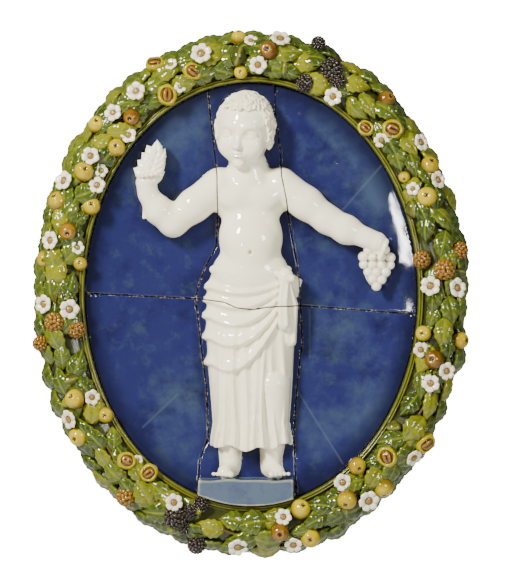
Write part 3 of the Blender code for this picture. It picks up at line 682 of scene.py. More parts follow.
sprig = {
    "stem": ((-0.224, 0.160), (-0.217, 0.234), (-0.196, 0.282)),
    "depth": 0.080,
    "backing": (-0.207, 0.258, 0.068, 0.024, 0.030, 0.013),   # the clay that joins its leaves
    "off": (0.004, 0.0006),         # how far the first leaf lies off the stem, and each one more
    "leaves": 9,
    "first": 0.10,
    "size": 0.60,             # against the garland's leaves
    "lean": 66.0,
    "leanStep": 5.0,
}


def addSprigStem(volume):
    stem = sprig["stem"]
    addChain(volume, [(x, z, sprig["depth"] + 0.002, 0.0040) for x, z in stem], 0.002)
    addChain(volume, [(x, z, sprig["depth"] - 0.016, 0.0125) for x, z in stem[1:]], 0.004)
    addBall(volume, sprig["backing"][:3], sprig["backing"][3:], 0.004)


grapes = {
    "top": (0.262, 0.092),
    "core": (0.262, 0.060, 0.066, 0.027, 0.046, 0.020),       # the clay behind the grapes
    "apart": (1.72, 1.40),          # across and down, in radii
    "jitter": 0.0012,
    "size": (0.92, 1.06),
    "radius": 0.0108,
    "rows": (3, 4, 4, 3, 2, 1),
    "depth": 0.078,
    "crown": 0.010,
    "seed": 5,
}


def addGrapeCore(volume):
    x, z = grapes["top"]
    addBall(volume, grapes["core"][:3], grapes["core"][3:], 0.002)
    addChain(volume, ((x, z + 0.014, 0.090, 0.0042), (x, z - 0.004, 0.086, 0.0042)), 0.002)


ledge = {"left": -0.110, "right": 0.088, "top": -0.386, "foot": -0.460, "depth": 0.111, "soft": 0.005}


def addLedge(volume):
    def shape(x, d, z):
        worn = 0.0012 * np.sin(41.0 * x + 3.0) + 0.0008 * np.sin(97.0 * x)
        sides = np.maximum(ledge["left"] - x, x - ledge["right"])
        top = z - ledge["top"] - worn
        front = d - ledge["depth"] + 0.006 * np.clip((ledge["top"] - z) / 0.05, 0.0, 1.0)
        return smoothMax(smoothMax(sides, top, ledge["soft"]), front, ledge["soft"])

    low = (ledge["left"] - 0.01, 0.0, ledge["foot"])
    high = (ledge["right"] + 0.012, ledge["depth"] + 0.009, ledge["top"] + 0.006)
    addShape(volume, "ledge", shape, low, high, 0.001)


def addBody(volume):
    soft = body["soft"]
    addChain(volume, body["neck"], soft)
    for x, z, depth, across, up, out in body["trunk"]:
        addBall(volume, (x, z, depth), (across, up, out), soft)
    for arm in (body["raisedArm"], body["loweredArm"]):
        addChain(volume, arm, soft)
        addChain(volume, [(x, z, depth - radius * 0.9, radius * 0.8) for x, z, depth, radius in arm], soft)
    for leg, heel, toe in zip(body["legs"], body["heels"], body["toes"]):
        addChain(volume, leg, 0.006)
        addChain(volume, (leg[-1], heel), 0.006)
        instep = (toe[0], toe[1] + 0.003, toe[2] - 0.006, 0.015)
        addChain(volume, ((*heel[:3], 0.018), instep), 0.006)
        outer = -1.0 if toe[0] < 0 else 1.0
        great, less, apart = body["toe"]
        for number in range(5):
            size = great - less * number
            step = outer * (number - 1.4) * apart
            addBall(volume, (toe[0] + step, toe[1] - 0.001, toe[2] + 0.010 - 0.0022 * number),
                    (size, size * 0.95, size * 1.25), 0.0012)
    for x in body["breasts"]:
        addBall(volume, (x, *body["breast"][:2]), body["breast"][2:], 0.014)
    addBall(volume, body["belly"][:3], body["belly"][3:], 0.016)
    addBall(volume, body["navel"][:3], body["navel"][3:], 0.004, cut=True)
    # the shallow crease under the breasts, bowed down and back at its ends
    left, right, height, depth, thick = body["crease"]
    crease = [(x, depth - 9.0 * x * x, height - 14.0 * x * x) for x in np.linspace(left, right, 6)]
    for a, b in zip(crease, crease[1:]):
        addTaper(volume, a, b, thick, thick, 0.008, "figure", True)


def addChild(volume):
    addBody(volume)
    addHead(volume)
    addCloth(volume)
    for arm, curl, thumb in (
        (body["raisedArm"], Vector((0.4, 0.9, 0.2)), -1.0),
        (body["loweredArm"], Vector((0.1, 0.7, -0.7)), 1.0),
    ):
        wrist, knuckles = [Vector((s[0], s[2], s[1])) for s in arm[-2:]]
        addHand(volume, wrist, knuckles, curl, thumb)
    addSprigStem(volume)
    addGrapeCore(volume)


sections = {
    # left, right, bottom and top of the grid, and the size of its cells
    "field_upper_centre": {"box": (-0.125, 0.110, -0.042, 0.446), "voxel": 0.00165},
    "field_lower_centre": {"box": (-0.124, 0.114, -0.446, 0.000), "voxel": 0.0020},
    "field_upper_left": {"box": (-0.352, -0.060, -0.018, 0.436), "voxel": 0.0023},
    "field_upper_right": {"box": (0.040, 0.352, -0.050, 0.446), "voxel": 0.0023},
    "field_lower_left": {"box": (-0.352, -0.080, -0.430, 0.012), "voxel": 0.0025},
    "field_lower_right": {"box": (0.080, 0.352, -0.430, -0.012), "voxel": 0.0025},
}


def makeSection(node, facts):
    where = node.split("_")[1:]
    x0, x1, z0, z1 = facts["box"]
    voxel = facts["voxel"]
    volume = makeVolume((x0, dish["root"] - voxel, z0), (x1, 0.150, z1), voxel)
    addChild(volume)
    addLedge(volume)
    x = volume["axes"][0][:, None]
    z = volume["axes"][2][None, :]
    depth = volume["axes"][1][None, :, None]
    wideX, wideZ = x + 0 * z, z + 0 * x
    floor = dishDepth(x, z) + dish["waver"] * noiseMap(wideX, wideZ, dish["waverSize"], dish["noiseSeed"])
    for start, end in dish["grooves"]:
        away = lineDistance(x, z, fromPhoto(*start), fromPhoto(*end))
        floor = floor - dish["grooveDepth"] * np.exp(-(away / dish["grooveWidth"]) ** 2)
    for spot in dish["pinholes"]:
        px, pz = fromPhoto(*spot)
        away = ((x - px) ** 2 + (z - pz) ** 2) / dish["pinholeWidth"] ** 2
        floor = floor - dish["pinholeDepth"] * np.exp(-away)
    ground = depth - floor[:, None, :]
    figure = np.minimum(volume["figure"], volume["ledge"])
    relief = smoothMin(ground, figure, dish["fillet"])
    parts = [part[:, None, :] for part in wallParts(wideX, wideZ, where)]
    whole = smoothMax(relief, wallDistance(parts, -relief), joints["round"])
    layers = {
        # white is how far out from the figure: it sets where the white glaze runs, and the painted shade
        # round the figure
        "white": np.minimum(ground, volume["ledge"]) - volume["figure"],
        "stone": ground - volume["ledge"],
        "sunk": -relief,
    }
    points, quads, sampled = surfaceNet(whole, volume["axes"], layers)
    sampled["sunk"] *= snapWalls(points, sampled["sunk"], where, voxel)
    x, z = points[:, 0], points[:, 2]
    # reach also sets the painted shade near the rim
    sampled["reach"] = fieldReach(x, z)
    sampled["joint"] = sectionSide(x, z, *where) - joints["gap"] / 2
    seams = [lineDistance(x, z, fromPhoto(*start), fromPhoto(*end)) for start, end in dish["grooves"]]
    sampled["seam"] = np.min(seams, axis=0)
    sampled["bloom"] = np.zeros(len(points))
    for px, py, wide, most in dish["blooms"]:
        spotX, spotZ = fromPhoto(px, py)
        away = np.hypot(x - spotX, z - spotZ) / (wide * oval["pixel"])
        sampled["bloom"] += most * np.exp(-away ** 2)
    return meshFromNet("glazed_" + node, points, quads, sampled)


def wallParts(x, z, where):
    # how far a place is past the rim, how far inside the joints, and how chipped the edge is there
    reach = fieldReach(x, z)
    slope = np.sqrt((x / oval["halfWidth"] ** 2) ** 2 + (z / oval["halfHeight"] ** 2) ** 2) / (reach + 1e-6)
    rim = (reach - 1.0) / np.maximum(slope, 1e-3)
    size, rare, deep = joints["chip"]
    chip = np.maximum(0.0, noiseMap(x, z, size, 21) - rare) * deep
    return rim, sectionSide(x, z, *where), chip


def wallDistance(parts, sunk):
    # negative inside the section; its clearance and chips close behind the lip
    rim, side, chip = parts
    gape = np.clip(2.0 - sunk / joints["lip"], 0.0, 1.0)
    apart = (joints["gap"] / 2 + chip) * gape - joints["overlap"] * (1.0 - gape)
    return np.maximum(rim + oval["clearance"] * gape, apart - side)


def snapWalls(points, sunk, where, voxel):
    # the grid's steps along the sides are drawn onto the true side; tells which points lie on it
    def away(x, z):
        return wallDistance(wallParts(x, z, where), sunk)

    step = 0.0004
    x, z = points[:, 0].copy(), points[:, 2].copy()
    slopeX = (away(x + step, z) - away(x - step, z)) / (2 * step)
    slopeZ = (away(x, z + step) - away(x, z - step)) / (2 * step)
    size = np.maximum(slopeX ** 2 + slopeZ ** 2, 0.25)
    off = away(x, z)
    near = np.abs(off) < voxel * 0.8
    points[:, 0] -= near * off * slopeX / size
    points[:, 2] -= near * off * slopeZ / size
    return near


def meshFromNet(name, points, quads, sampled):
    verts = np.stack((points[:, 0], -points[:, 1], points[:, 2]), axis=1)
    quads = quads[:, ::-1]
    mesh = bpy.data.meshes.new(name)
    mesh.from_pydata(verts.tolist(), [], quads.tolist())
    for key, values in sampled.items():
        layer = mesh.attributes.new(key, "FLOAT", "POINT")
        layer.data.foreach_set("value", values.astype(np.float32))
    built = bmesh.new()
    built.from_mesh(mesh)
    dropSpecks(built)
    closeBack(built)
    built.to_mesh(mesh)
    built.free()
    addHollows(mesh)
    smoothFront(mesh)
    return addObject(name, mesh)


def smoothFront(mesh):
    # everything is rounded but the flat back and the sides that run to it
    for face in mesh.polygons:
        face.use_smooth = all(mesh.vertices[index].co.y < -0.0005 for index in face.vertices)


def dropSpecks(built):
    built.verts.ensure_lookup_table()
    waiting = set(built.verts)
    groups = []
    while waiting:
        seed = waiting.pop()
        reached, group = [seed], {seed}
        while reached:
            vert = reached.pop()
            for edge in vert.link_edges:
                other = edge.other_vert(vert)
                if other in waiting:
                    waiting.remove(other)
                    group.add(other)
                    reached.append(other)
        groups.append(group)
    groups.sort(key=len, reverse=True)
    for group in groups[1:]:
        bmesh.ops.delete(built, geom=list(group), context="VERTS")


def closeBack(built):
    # from the grid's back edge straight to the wall, then a flat back
    rim = [edge for edge in built.edges if edge.is_boundary]
    made = bmesh.ops.extrude_edge_only(built, edges=rim)["geom"]
    for vert in made:
        if isinstance(vert, bmesh.types.BMVert):
            vert.co.y = 0.0
    rest = [edge for edge in built.edges if edge.is_boundary]
    bmesh.ops.holes_fill(built, edges=rest, sides=0)
    bmesh.ops.recalc_face_normals(built, faces=built.faces)


def addHollows(mesh):
    # how hollow or how proud each place is, for the glaze to pool in or wear off, and for painted shade in
    # the hollows
    count = len(mesh.vertices)
    points = np.empty(count * 3)
    mesh.vertices.foreach_get("co", points)
    points = points.reshape(-1, 3)
    normals = np.empty(count * 3)
    mesh.vertices.foreach_get("normal", normals)
    normals = normals.reshape(-1, 3)
    edges = np.empty(len(mesh.edges) * 2, dtype=int)
    mesh.edges.foreach_get("vertices", edges)
    edges = edges.reshape(-1, 2)
    degree = np.bincount(edges.ravel(), minlength=count)[:, None]
    total = np.zeros((count, 3))
    np.add.at(total, edges[:, 0], points[edges[:, 1]])
    np.add.at(total, edges[:, 1], points[edges[:, 0]])
    bend = ((total / np.maximum(degree, 1) - points) * normals).sum(axis=1)
    length = np.linalg.norm(points[edges[:, 0]] - points[edges[:, 1]], axis=1).mean()
    bend = bend / length ** 2 * 0.004
    for _ in range(3):
        spread = np.zeros(count)
        np.add.at(spread, edges[:, 0], bend[edges[:, 1]])
        np.add.at(spread, edges[:, 1], bend[edges[:, 0]])
        bend = 0.5 * bend + 0.5 * spread / np.maximum(degree[:, 0], 1)
    layer = mesh.attributes.new("hollow", "FLOAT", "POINT")
    layer.data.foreach_set("value", bend.astype(np.float32))


# Materials

def colour(code):
    code = code.lstrip("#")
    parts = [int(code[i:i + 2], 16) / 255.0 for i in (0, 2, 4)]
    linear = [p / 12.92 if p <= 0.04045 else ((p + 0.055) / 1.055) ** 2.4 for p in parts]
    return (*linear, 1.0)


def addNode(tree, kind, inputs=None, output=0, **settings):
    # one node with its settings, values and links; gives back one of its outputs
    item = tree.nodes.new(kind)
    for key, value in settings.items():
        setattr(item, key, value)
    for key, value in (inputs or {}).items():
        if isinstance(value, bpy.types.NodeSocket):
            tree.links.new(value, item.inputs[key])
        else:
            item.inputs[key].default_value = value
    return item.outputs[output] if item.outputs else None


def startMaterial(name):
    material = bpy.data.materials.new(name)
    material.use_nodes = True
    tree = material.node_tree
    tree.nodes.clear()
    surface = addNode(tree, "ShaderNodeBsdfPrincipled")
    addNode(tree, "ShaderNodeOutputMaterial", {"Surface": surface})
    place = addNode(tree, "ShaderNodeTexCoord", output="Object")
    return material, tree, surface.node, place


def makeClouds(tree, place, clouds):
    # noise maps by name, from pattern size in mm, detail and roughness
    return {name: addNode(tree, "ShaderNodeTexNoise", {
        "Vector": place, "Scale": 1000.0 / size, "Detail": detail, "Roughness": rough}, "Fac")
        for name, (size, detail, rough) in clouds.items()}


def paint(tree, base, layers, maps):
    # each layer lays a colour over the last, or over a plain one, where its map runs from low to high
    for source, low, high, most, code in layers:
        if source not in maps:
            maps[source] = addNode(tree, "ShaderNodeAttribute", output="Fac", attribute_name=source)
        share = addNode(tree, "ShaderNodeMapRange", {
            "Value": maps[source], "From Min": low, "From Max": high, "To Max": most})
        base = addNode(tree, "ShaderNodeMix", {0: share, 6: base, 7: colour(code)}, 2, data_type="RGBA")
    return base


def setBumps(tree, shader, bumps, maps):
    # map, strength, height in mm; each bump rides on the last
    normal = None
    for source, strength, height in bumps:
        inputs = {"Height": maps[source], "Strength": strength, "Distance": height * 0.001}
        if normal is not None:
            inputs["Normal"] = normal
        normal = addNode(tree, "ShaderNodeBump", inputs)
    tree.links.new(normal, shader.inputs["Normal"])


bareClay = {
    # fired clay, left unglazed behind: pinkish buff, dusty, with darker patches
    "from": -0.018, "to": -0.022, "patch": 38.0, "tones": ("#8a5a3c", "#b08460"), "roughness": 0.85,
}


def addBareClay(tree, shader, place, base, rough, bumps, maps):
    # the glaze's colour and gloss stop short of the back, which shows the clay
    maps["back"] = addNode(tree, "ShaderNodeSeparateXYZ", {0: place}, 1)
    maps.update(makeClouds(tree, place, {"patches": (bareClay["patch"], 6.0, 0.7)}))
    dark, light = bareClay["tones"]
    clay = paint(tree, colour(dark), (("patches", 0.35, 0.65, 1.0, light),), maps)
    share = addNode(tree, "ShaderNodeMapRange", {
        "Value": maps["back"], "From Min": bareClay["to"], "From Max": bareClay["from"]})
    base = addNode(tree, "ShaderNodeMix", {0: share, 6: base, 7: clay}, 2, data_type="RGBA")
    dull = addNode(tree, "ShaderNodeMath", {0: share, 1: bareClay["roughness"]}, operation="MULTIPLY")
    rough = addNode(tree, "ShaderNodeMath", {0: rough, 1: dull}, operation="MAXIMUM")
    tree.links.new(base, shader.inputs["Base Color"])
    tree.links.new(rough, shader.inputs["Roughness"])
    shader.inputs["IOR"].default_value = 1.52
    setBumps(tree, shader, bumps, maps)


fieldFinish = {
    # cobalt washed unevenly over white: navy, clouded with a lighter and a grey-green blue, with painted
    # shade near the rim and round the figure
    "clouds": {"broad": (95.0, 4.0, 0.6), "mottle": (30.0, 4.0, 0.65), "fleck": (5.0, 2.0, 0.5),
               "waves": (45.0, 1.0, 0.4), "pits": (2.4, 2.0, 0.5)},
    "cobalt": "#1e2150",
    "blues": (
        ("broad", 0.46, 0.72, 0.70, "#232a54"), ("broad", 0.48, 0.30, 0.85, "#101030"),
        ("bloomed", 0.52, 1.05, 0.90, "#35435c"), ("mottle", 0.56, 0.80, 0.55, "#2e4044"),
        # painted shade: reach darkens the blue near the rim, where the frame casts its shadow, and white
        # darkens it round the figure
        ("reach", 0.88, 0.97, 0.80, "#0c0d2a"), ("white", -0.024, -0.004, 0.40, "#10112f"),
        ("seam", 0.0030, 0.0012, 0.30, "#4a5866"), ("white", -0.0030, -0.0012, 0.50, "#566478"),
    ),
    "stone": "#46566a",
    "stones": (("mottle", 0.45, 0.75, 0.60, "#2a3458"), ("hollow", -0.06, -0.30, 0.80, "#a8a890")),
    # thick white glaze, greenish ivory where it pools; the brown in its hollows is partly pooled glaze and
    # partly painted shade
    "white": "#fcf6d8",
    "whites": (
        ("broad", 0.45, 0.70, 0.40, "#eeead0"), ("mottle", 0.50, 0.80, 0.45, "#e8dcb0"),
        ("hollow", 0.06, 0.50, 0.75, "#97804e"),
    ),
    # chipped joints, and near black inside the gaps, darker with depth below the glaze: dark joints deepened
    # by painted shade
    "worn": (("chipped", 0.0034, 0.0026, 0.85, "#cfc3a4"), ("sunk", 0.0009, 0.0022, 1.0, "#0c0706")),
    "roughness": (0.018, 0.040),
    "bumps": (("waves", 0.24, 1.2), ("pits", 0.05, 0.4)),
}


def fieldMaterial():
    finish = fieldFinish
    material, tree, shader, place = startMaterial("field tin glaze")
    maps = makeClouds(tree, place, finish["clouds"])
    bloom = addNode(tree, "ShaderNodeAttribute", output="Fac", attribute_name="bloom")
    maps["bloomed"] = addNode(tree, "ShaderNodeMath", {0: bloom, 1: 0.6, 2: maps["mottle"]},
                              operation="MULTIPLY_ADD")
    blue = paint(tree, colour(finish["cobalt"]), finish["blues"], maps)
    stone = paint(tree, colour(finish["stone"]), finish["stones"], maps)
    white = paint(tree, colour(finish["white"]), finish["whites"], maps)
    bleed = addNode(tree, "ShaderNodeMath", {0: maps["mottle"], 1: 0.0020, 2: maps["white"]},
                    operation="MULTIPLY_ADD")
    isStone = addNode(tree, "ShaderNodeMapRange", {
        "Value": addNode(tree, "ShaderNodeAttribute", output="Fac", attribute_name="stone"),
        "From Min": -0.001, "From Max": 0.0012})
    isWhite = addNode(tree, "ShaderNodeMapRange", {"Value": bleed, "From Min": -0.0006, "From Max": 0.0010})
    base = addNode(tree, "ShaderNodeMix", {0: isStone, 6: blue, 7: stone}, 2, data_type="RGBA")
    base = addNode(tree, "ShaderNodeMix", {0: isWhite, 6: base, 7: white}, 2, data_type="RGBA")
    chipped = addNode(tree, "ShaderNodeAttribute", output="Fac", attribute_name="joint")
    maps["chipped"] = addNode(tree, "ShaderNodeMath", {0: maps["fleck"], 1: 0.0066, 2: chipped},
                              operation="MULTIPLY_ADD")
    # chips along the joints, and painted shade inside the gaps
    base = paint(tree, base, finish["worn"], maps)
    low, high = finish["roughness"]
    glossy = addNode(tree, "ShaderNodeMapRange", {
        "Value": maps["mottle"], "From Min": 0.3, "From Max": 0.7, "To Min": low, "To Max": high})
    inside = addNode(tree, "ShaderNodeMapRange", {
        "Value": maps["sunk"], "From Min": 0.0009, "From Max": 0.0022, "To Max": 0.7})
    rough = addNode(tree, "ShaderNodeMath", {0: glossy, 1: inside}, operation="MAXIMUM")
    addBareClay(tree, shader, place, base, rough, finish["bumps"], maps)
    return material


def glazeMaterial(finish):
    # glazes run into each other: thin and light on proud ribs, dark where they pool; the hollow colour is
    # partly pooled glaze and partly painted shade, the under colour is painted shade
    material, tree, shader, place = startMaterial(finish["name"])
    maps = makeClouds(tree, place, {
        "cloud": (finish["patch"], 5.0, 0.62), "crinkle": (finish["crinkle"], 3.0, 0.6)})
    tone = addNode(tree, "ShaderNodeAttribute", output="Fac", attribute_name="tone")
    maps["shift"] = addNode(tree, "ShaderNodeMath", {0: maps["cloud"], 1: tone}, operation="ADD")
    low, middle, high = finish["tones"]
    base = paint(tree, colour(low), (
        ("shift", 0.60, 1.00, 1.0, middle), ("shift", 1.00, 1.40, 1.0, high),
        # painted shade on undersides and toward the ground; hollows darkened, partly pooled glaze, partly
        # painted shade
        ("low", 0.20, 1.00, 0.85, finish["under"]), ("hollow", 0.06, 0.60, 0.80, finish["hollow"]),
        ("rib", 0.10, 1.00, finish["ribShare"], finish["rib"]),
        ("mark", 0.20, 0.80, 1.0, finish["mark"])), maps)
    smooth, dull = finish["roughness"]
    gloss = addNode(tree, "ShaderNodeMapRange", {
        "Value": maps["cloud"], "From Min": 0.3, "From Max": 0.7, "To Min": smooth, "To Max": dull})
    addBareClay(tree, shader, place, base, gloss, (("crinkle", finish["relief"], 1.0),), maps)
    return material


def startShape():
    # a mesh in the making, with the marks that its glaze reads: ribs, dark marks, some of them painted shade,
    # and nearness to the ground, where the glaze paints shade
    built = bmesh.new()
    marks = {key: built.verts.layers.float.new(key) for key in ("rib", "mark", "low")}
    return built, marks


def shapeObject(name, built, tone=None):
    bmesh.ops.recalc_face_normals(built, faces=built.faces)
    mesh = bpy.data.meshes.new(name)
    built.to_mesh(mesh)
    built.free()
    addHollows(mesh)
    mesh.polygons.foreach_set("use_smooth", [True] * len(mesh.polygons))
    if tone is not None:
        smoothFront(mesh)
        layer = mesh.attributes.new("tone", "FLOAT", "POINT")
        layer.data.foreach_set("value", np.full(len(mesh.vertices), tone, dtype=np.float32))
    return addObject(name, mesh)


# The garland frame: a turned oval band, its two fine beads at the inner edge first

frameBand = {
    "profile": (  # out from the field's edge, depth
        (0.0000, 0.000), (0.0000, 0.084), (0.0006, 0.0885), (0.0022, 0.0915), (0.0040, 0.0925),
        (0.0058, 0.0910), (0.0068, 0.0885), (0.0078, 0.0895), (0.0092, 0.0912), (0.0106, 0.0902),
        (0.0116, 0.0875), (0.0140, 0.0860), (0.0220, 0.0880), (0.0320, 0.0930), (0.0440, 0.0960),
        (0.0550, 0.0970), (0.0660, 0.0940), (0.0780, 0.0870), (0.0870, 0.0740), (0.0950, 0.0600),
        (0.1010, 0.0460), (0.1050, 0.0340), (0.1055, 0.000),
    ),
    "steps": 420,
    "beads": (0.0040, 0.0092),
    "beadWidth": 0.0016,
    "bandFrom": 0.0120,
}

bandGlaze = {
    # olive green, a thin yellow line along each bead, and darker where the leaves lie over it: painted shade
    "name": "olive band glaze", "tones": ("#32380e", "#444a12", "#545814"),
    "under": "#2a3210", "hollow": "#14180c",
    "rib": "#7e7a18", "ribShare": 0.60, "mark": "#161a0c", "patch": 22.0, "crinkle": 3.0, "relief": 0.25,
    "roughness": (0.10, 0.24),
}


def frameDepth(out):
    profile = frameBand["profile"][1:-1]
    return float(np.interp(out, [p[0] for p in profile], [p[1] for p in profile]))


def makeFrameGround():
    built, marks = startShape()
    steps, profile = frameBand["steps"], frameBand["profile"]
    rings = []
    for step in range(steps):
        clock = 360.0 * step / steps
        ring = []
        for out, depth in profile:
            vert = built.verts.new(ovalPoint(clock, out, depth))
            away = min(abs(out - bead) for bead in frameBand["beads"])
            vert[marks["rib"]] = math.exp(-(away / frameBand["beadWidth"]) ** 2) if depth > 0.02 else 0.0
            # half the dark mark over the band where the leaves lie: painted shade under the leaves
            vert[marks["mark"]] = 0.5 if frameBand["bandFrom"] < out < 0.090 else 0.0
            ring.append(vert)
        rings.append(ring)
    for ring, after in zip(rings, rings[1:] + rings[:1]):
        for index in range(len(profile)):
            following = (index + 1) % len(profile)
            built.faces.new((ring[index], ring[following], after[following], after[index]))
    return shapeObject("frame_ground", built, 0.45)


# Leaves, along +X with +Z off the wall, made once and set out by the scatter tree

leaf = {
    "length": 0.067, "width": 0.042, "thick": 0.0055, "along": 30, "across": 12,
    "veins": 5, "slant": 0.24, "puff": 0.0028, "vein": 0.0009, "tooth": 0.06, "drop": 0.0040,
}

leafGlaze = {
    # bottle green to olive and yellow green from leaf to leaf, lighter along ribs and edges; darker
    # underneath as painted shade, near black in hollows, partly pooled glaze and partly painted shade
    "name": "leaf green glaze", "tones": ("#2a3a0a", "#465416", "#76760c"),
    "under": "#24300c", "hollow": "#0a1006",
    "rib": "#7e8420", "ribShare": 0.65, "mark": "#141c08", "patch": 16.0, "crinkle": 2.6, "relief": 0.12,
    "roughness": (0.04, 0.10),
}


def leafShape(name, arch, puff=1.0, slim=1.0, bend=0.0, along=None, across=None):
    # a toothed blade puffed up between a sunk midrib and its edges, with raised side ribs;
    # each end closes in one vertex
    built, marks = startShape()
    along, across = along or leaf["along"], across or leaf["across"]

    def spot(t, s, under=False):
        half = leaf["width"] / 2 * slim * max(0.0, math.sin(math.pi * t ** 0.85)) ** (0.60 + 0.45 * t)
        phase = 2 * math.pi * leaf["veins"] * (t - leaf["slant"] * abs(s))
        reach = abs(s)
        tooth = 1.0 + leaf["tooth"] * math.cos(phase) * reach ** 6
        body = math.sin(math.pi * t)
        lift = arch * body - leaf["drop"] * (reach ** 3 + t ** 4)
        lift += leaf["puff"] * puff * math.sin(math.pi * reach ** 0.8) * body ** 0.5
        lift += leaf["vein"] * math.cos(phase) * math.sin(math.pi * min(1.0, reach * 1.1)) * body ** 0.5
        if under:
            lift = arch * body - leaf["drop"] * (reach ** 3 + t ** 4) - leaf["thick"] * body ** 0.3
        vert = built.verts.new(((t - 0.5) * leaf["length"], s * half * tooth + bend * (t - 0.5) ** 2, lift))
        rib = max(0.0, math.cos(phase)) ** 5 * min(1.0, reach * 1.6) * 0.8
        vert[marks["rib"]] = 0.0 if under else max(rib, math.exp(-(s / 0.08) ** 2), 0.7 * reach ** 12)
        # the underside is marked low, for the painted shade under the leaf
        vert[marks["low"]] = 1.0 if under else 0.0
        return vert

    shares = [2.0 * j / across - 1.0 for j in range(across + 1)]
    shares = [math.copysign(abs(s) ** 0.9, s) for s in shares]
    start, tip = spot(0.0, 0.0), spot(1.0, 0.0)
    top = [[spot(i / along, s) for s in shares] for i in range(1, along)]
    under = [[spot(i / along, s, True) for s in (-1.0, 0.0, 1.0)] for i in range(1, along)]
    for a, b in zip(top, top[1:]):
        for j in range(across):
            built.faces.new((a[j], b[j], b[j + 1], a[j + 1]))
    for a, b in zip(under, under[1:]):
        built.faces.new((a[0], a[1], b[1], b[0]))
        built.faces.new((a[1], a[2], b[2], b[1]))
    for i in range(along - 2):
        built.faces.new((top[i][0], under[i][0], under[i + 1][0], top[i + 1][0]))
        built.faces.new((top[i][-1], top[i + 1][-1], under[i + 1][-1], under[i][-1]))
    for pole, row, low in ((start, top[0], under[0]), (tip, top[-1], under[-1])):
        ring = row + low[::-1]
        for a, b in zip(ring, ring[1:] + ring[:1]):
            built.faces.new((pole, a, b))
    return shapeObject(name, built)


# Fruit: balls whose pole, with the calyx, faces off the wall

fruit = {
    "radius": 0.0205, "segments": 28, "rings": 18,
    "within": (0.012, 0.090),   # where the band's slope is taken for the ones at its edges
    "deepest": 0.084,
    "forward": 0.6,             # the outermost ones look out from the rim, not straight along the wall
    "tone": (0.3, 0.7),
}

appleGlaze = {
    # strong yellow, painted ochre shade round the edge and underneath, a small dark brown calyx
    "name": "yellow glaze", "tones": ("#8a6c00", "#b09a00", "#c6b400"),
    "under": "#5c3e08", "hollow": "#4e340a",
    "rib": "#8a5c0c", "ribShare": 0.6, "mark": "#2a1206", "patch": 16.0, "crinkle": 4.0, "relief": 0.30,
    "roughness": (0.04, 0.10),
}

medlarGlaze = {
    # orange brown, mottled, a dark hole with a pale rim
    "name": "orange glaze", "tones": ("#542e06", "#745008", "#8e6e0a"),
    "under": "#3a2008", "hollow": "#3a1e0a",
    "rib": "#a07a20", "ribShare": 0.7, "mark": "#200e06", "patch": 12.0, "crinkle": 3.0, "relief": 0.35,
    "roughness": (0.04, 0.11),
}


def fruitShape(name, form):
    built, marks = startShape()
    bmesh.ops.create_uvsphere(built, u_segments=fruit["segments"], v_segments=fruit["rings"], radius=1.0)
    for vert in built.verts:
        n = vert.co.normalized()
        around = math.atan2(n.y, n.x)
        up = math.acos(max(-1.0, min(1.0, n.z)))
        radius, rib, mark = form(around, up)
        vert.co = n * (radius * fruit["radius"])
        vert[marks["rib"]] = rib
        vert[marks["mark"]] = mark
        # low grows toward the rim and base, where the glaze paints shade
        vert[marks["low"]] = min(1.0, max(0.0, (up - 0.75) / 0.9))
    return shapeObject(name, built)


def appleForm(around, up):
    # an even ball with a small sunk calyx of four points
    calyx = 0.24 + 0.06 * math.cos(4 * around)
    eye = 0.24 * math.exp(-(up / 0.20) ** 2)
    lip = 0.03 * math.exp(-((up - 0.36) / 0.12) ** 2)
    radius = 1.0 - eye + lip + 0.012 * math.sin(3 * around + 1.0) * math.sin(up)
    return radius, 0.0, math.exp(-(up / calyx) ** 4)


def medlarForm(around, up):
    # a flatter ball with a wide calyx of five lobes round a hole
    lobes = 0.5 + 0.5 * math.cos(5 * around)
    eye = 0.28 * math.exp(-(up / 0.22) ** 2)
    lip = (0.04 + 0.04 * lobes) * math.exp(-((up - 0.40) / 0.13) ** 2)
    return 0.97 - eye + lip, math.exp(-((up - 0.38) / 0.12) ** 2), math.exp(-(up / 0.26) ** 4)


budGlaze = {
    # dull olive with lighter ridges
    "name": "olive bud glaze", "tones": ("#262c0c", "#454a12", "#62621a"),
    "under": "#1a1f0a", "hollow": "#181c0a",
    "rib": "#868430", "ribShare": 0.7, "mark": "#20200a", "patch": 12.0, "crinkle": 3.0, "relief": 0.20,
    "roughness": (0.05, 0.13),
}


def budForm(around, up):
    # a closed husk, longer than wide, with soft ridges from end to end
    waist = math.sin(up)
    ridge = math.cos(4.5 * math.asin(max(-1.0, min(1.0, math.sin(around) * waist))))
    radius = 0.92 + 0.20 * (math.cos(around) * waist) ** 2 + 0.04 * ridge
    return radius, max(0.0, ridge) ** 4, 0.6 * max(0.0, -ridge) ** 6


cone = {"knobs": 46, "knob": 0.25, "core": 0.80, "down": 1.45}

coneGlaze = {
    # amber brown with gold on the knobs and dark brown between them, painted shade
    "name": "amber glaze", "tones": ("#3e2008", "#58380a", "#6c4e0c"),
    "under": "#40240c", "hollow": "#2c180a",
    "rib": "#9a6e18", "ribShare": 0.8, "mark": "#221006", "patch": 12.0, "crinkle": 2.5, "relief": 0.30,
    "roughness": (0.05, 0.12),
}

berry = {"knobs": 62, "knob": 0.17, "core": 0.82, "down": 1.50}

berryGlaze = {
    # manganese purple, nearly black, with gold brown specks on the tips
    "name": "black purple glaze", "tones": ("#080508", "#100c10", "#221c1e"),
    "under": "#0a0608",
    "hollow": "#080508", "rib": "#7a6640", "ribShare": 0.28, "mark": "#060406", "patch": 5.0, "crinkle": 2.0,
    "relief": 0.25, "roughness": (0.05, 0.16),
}


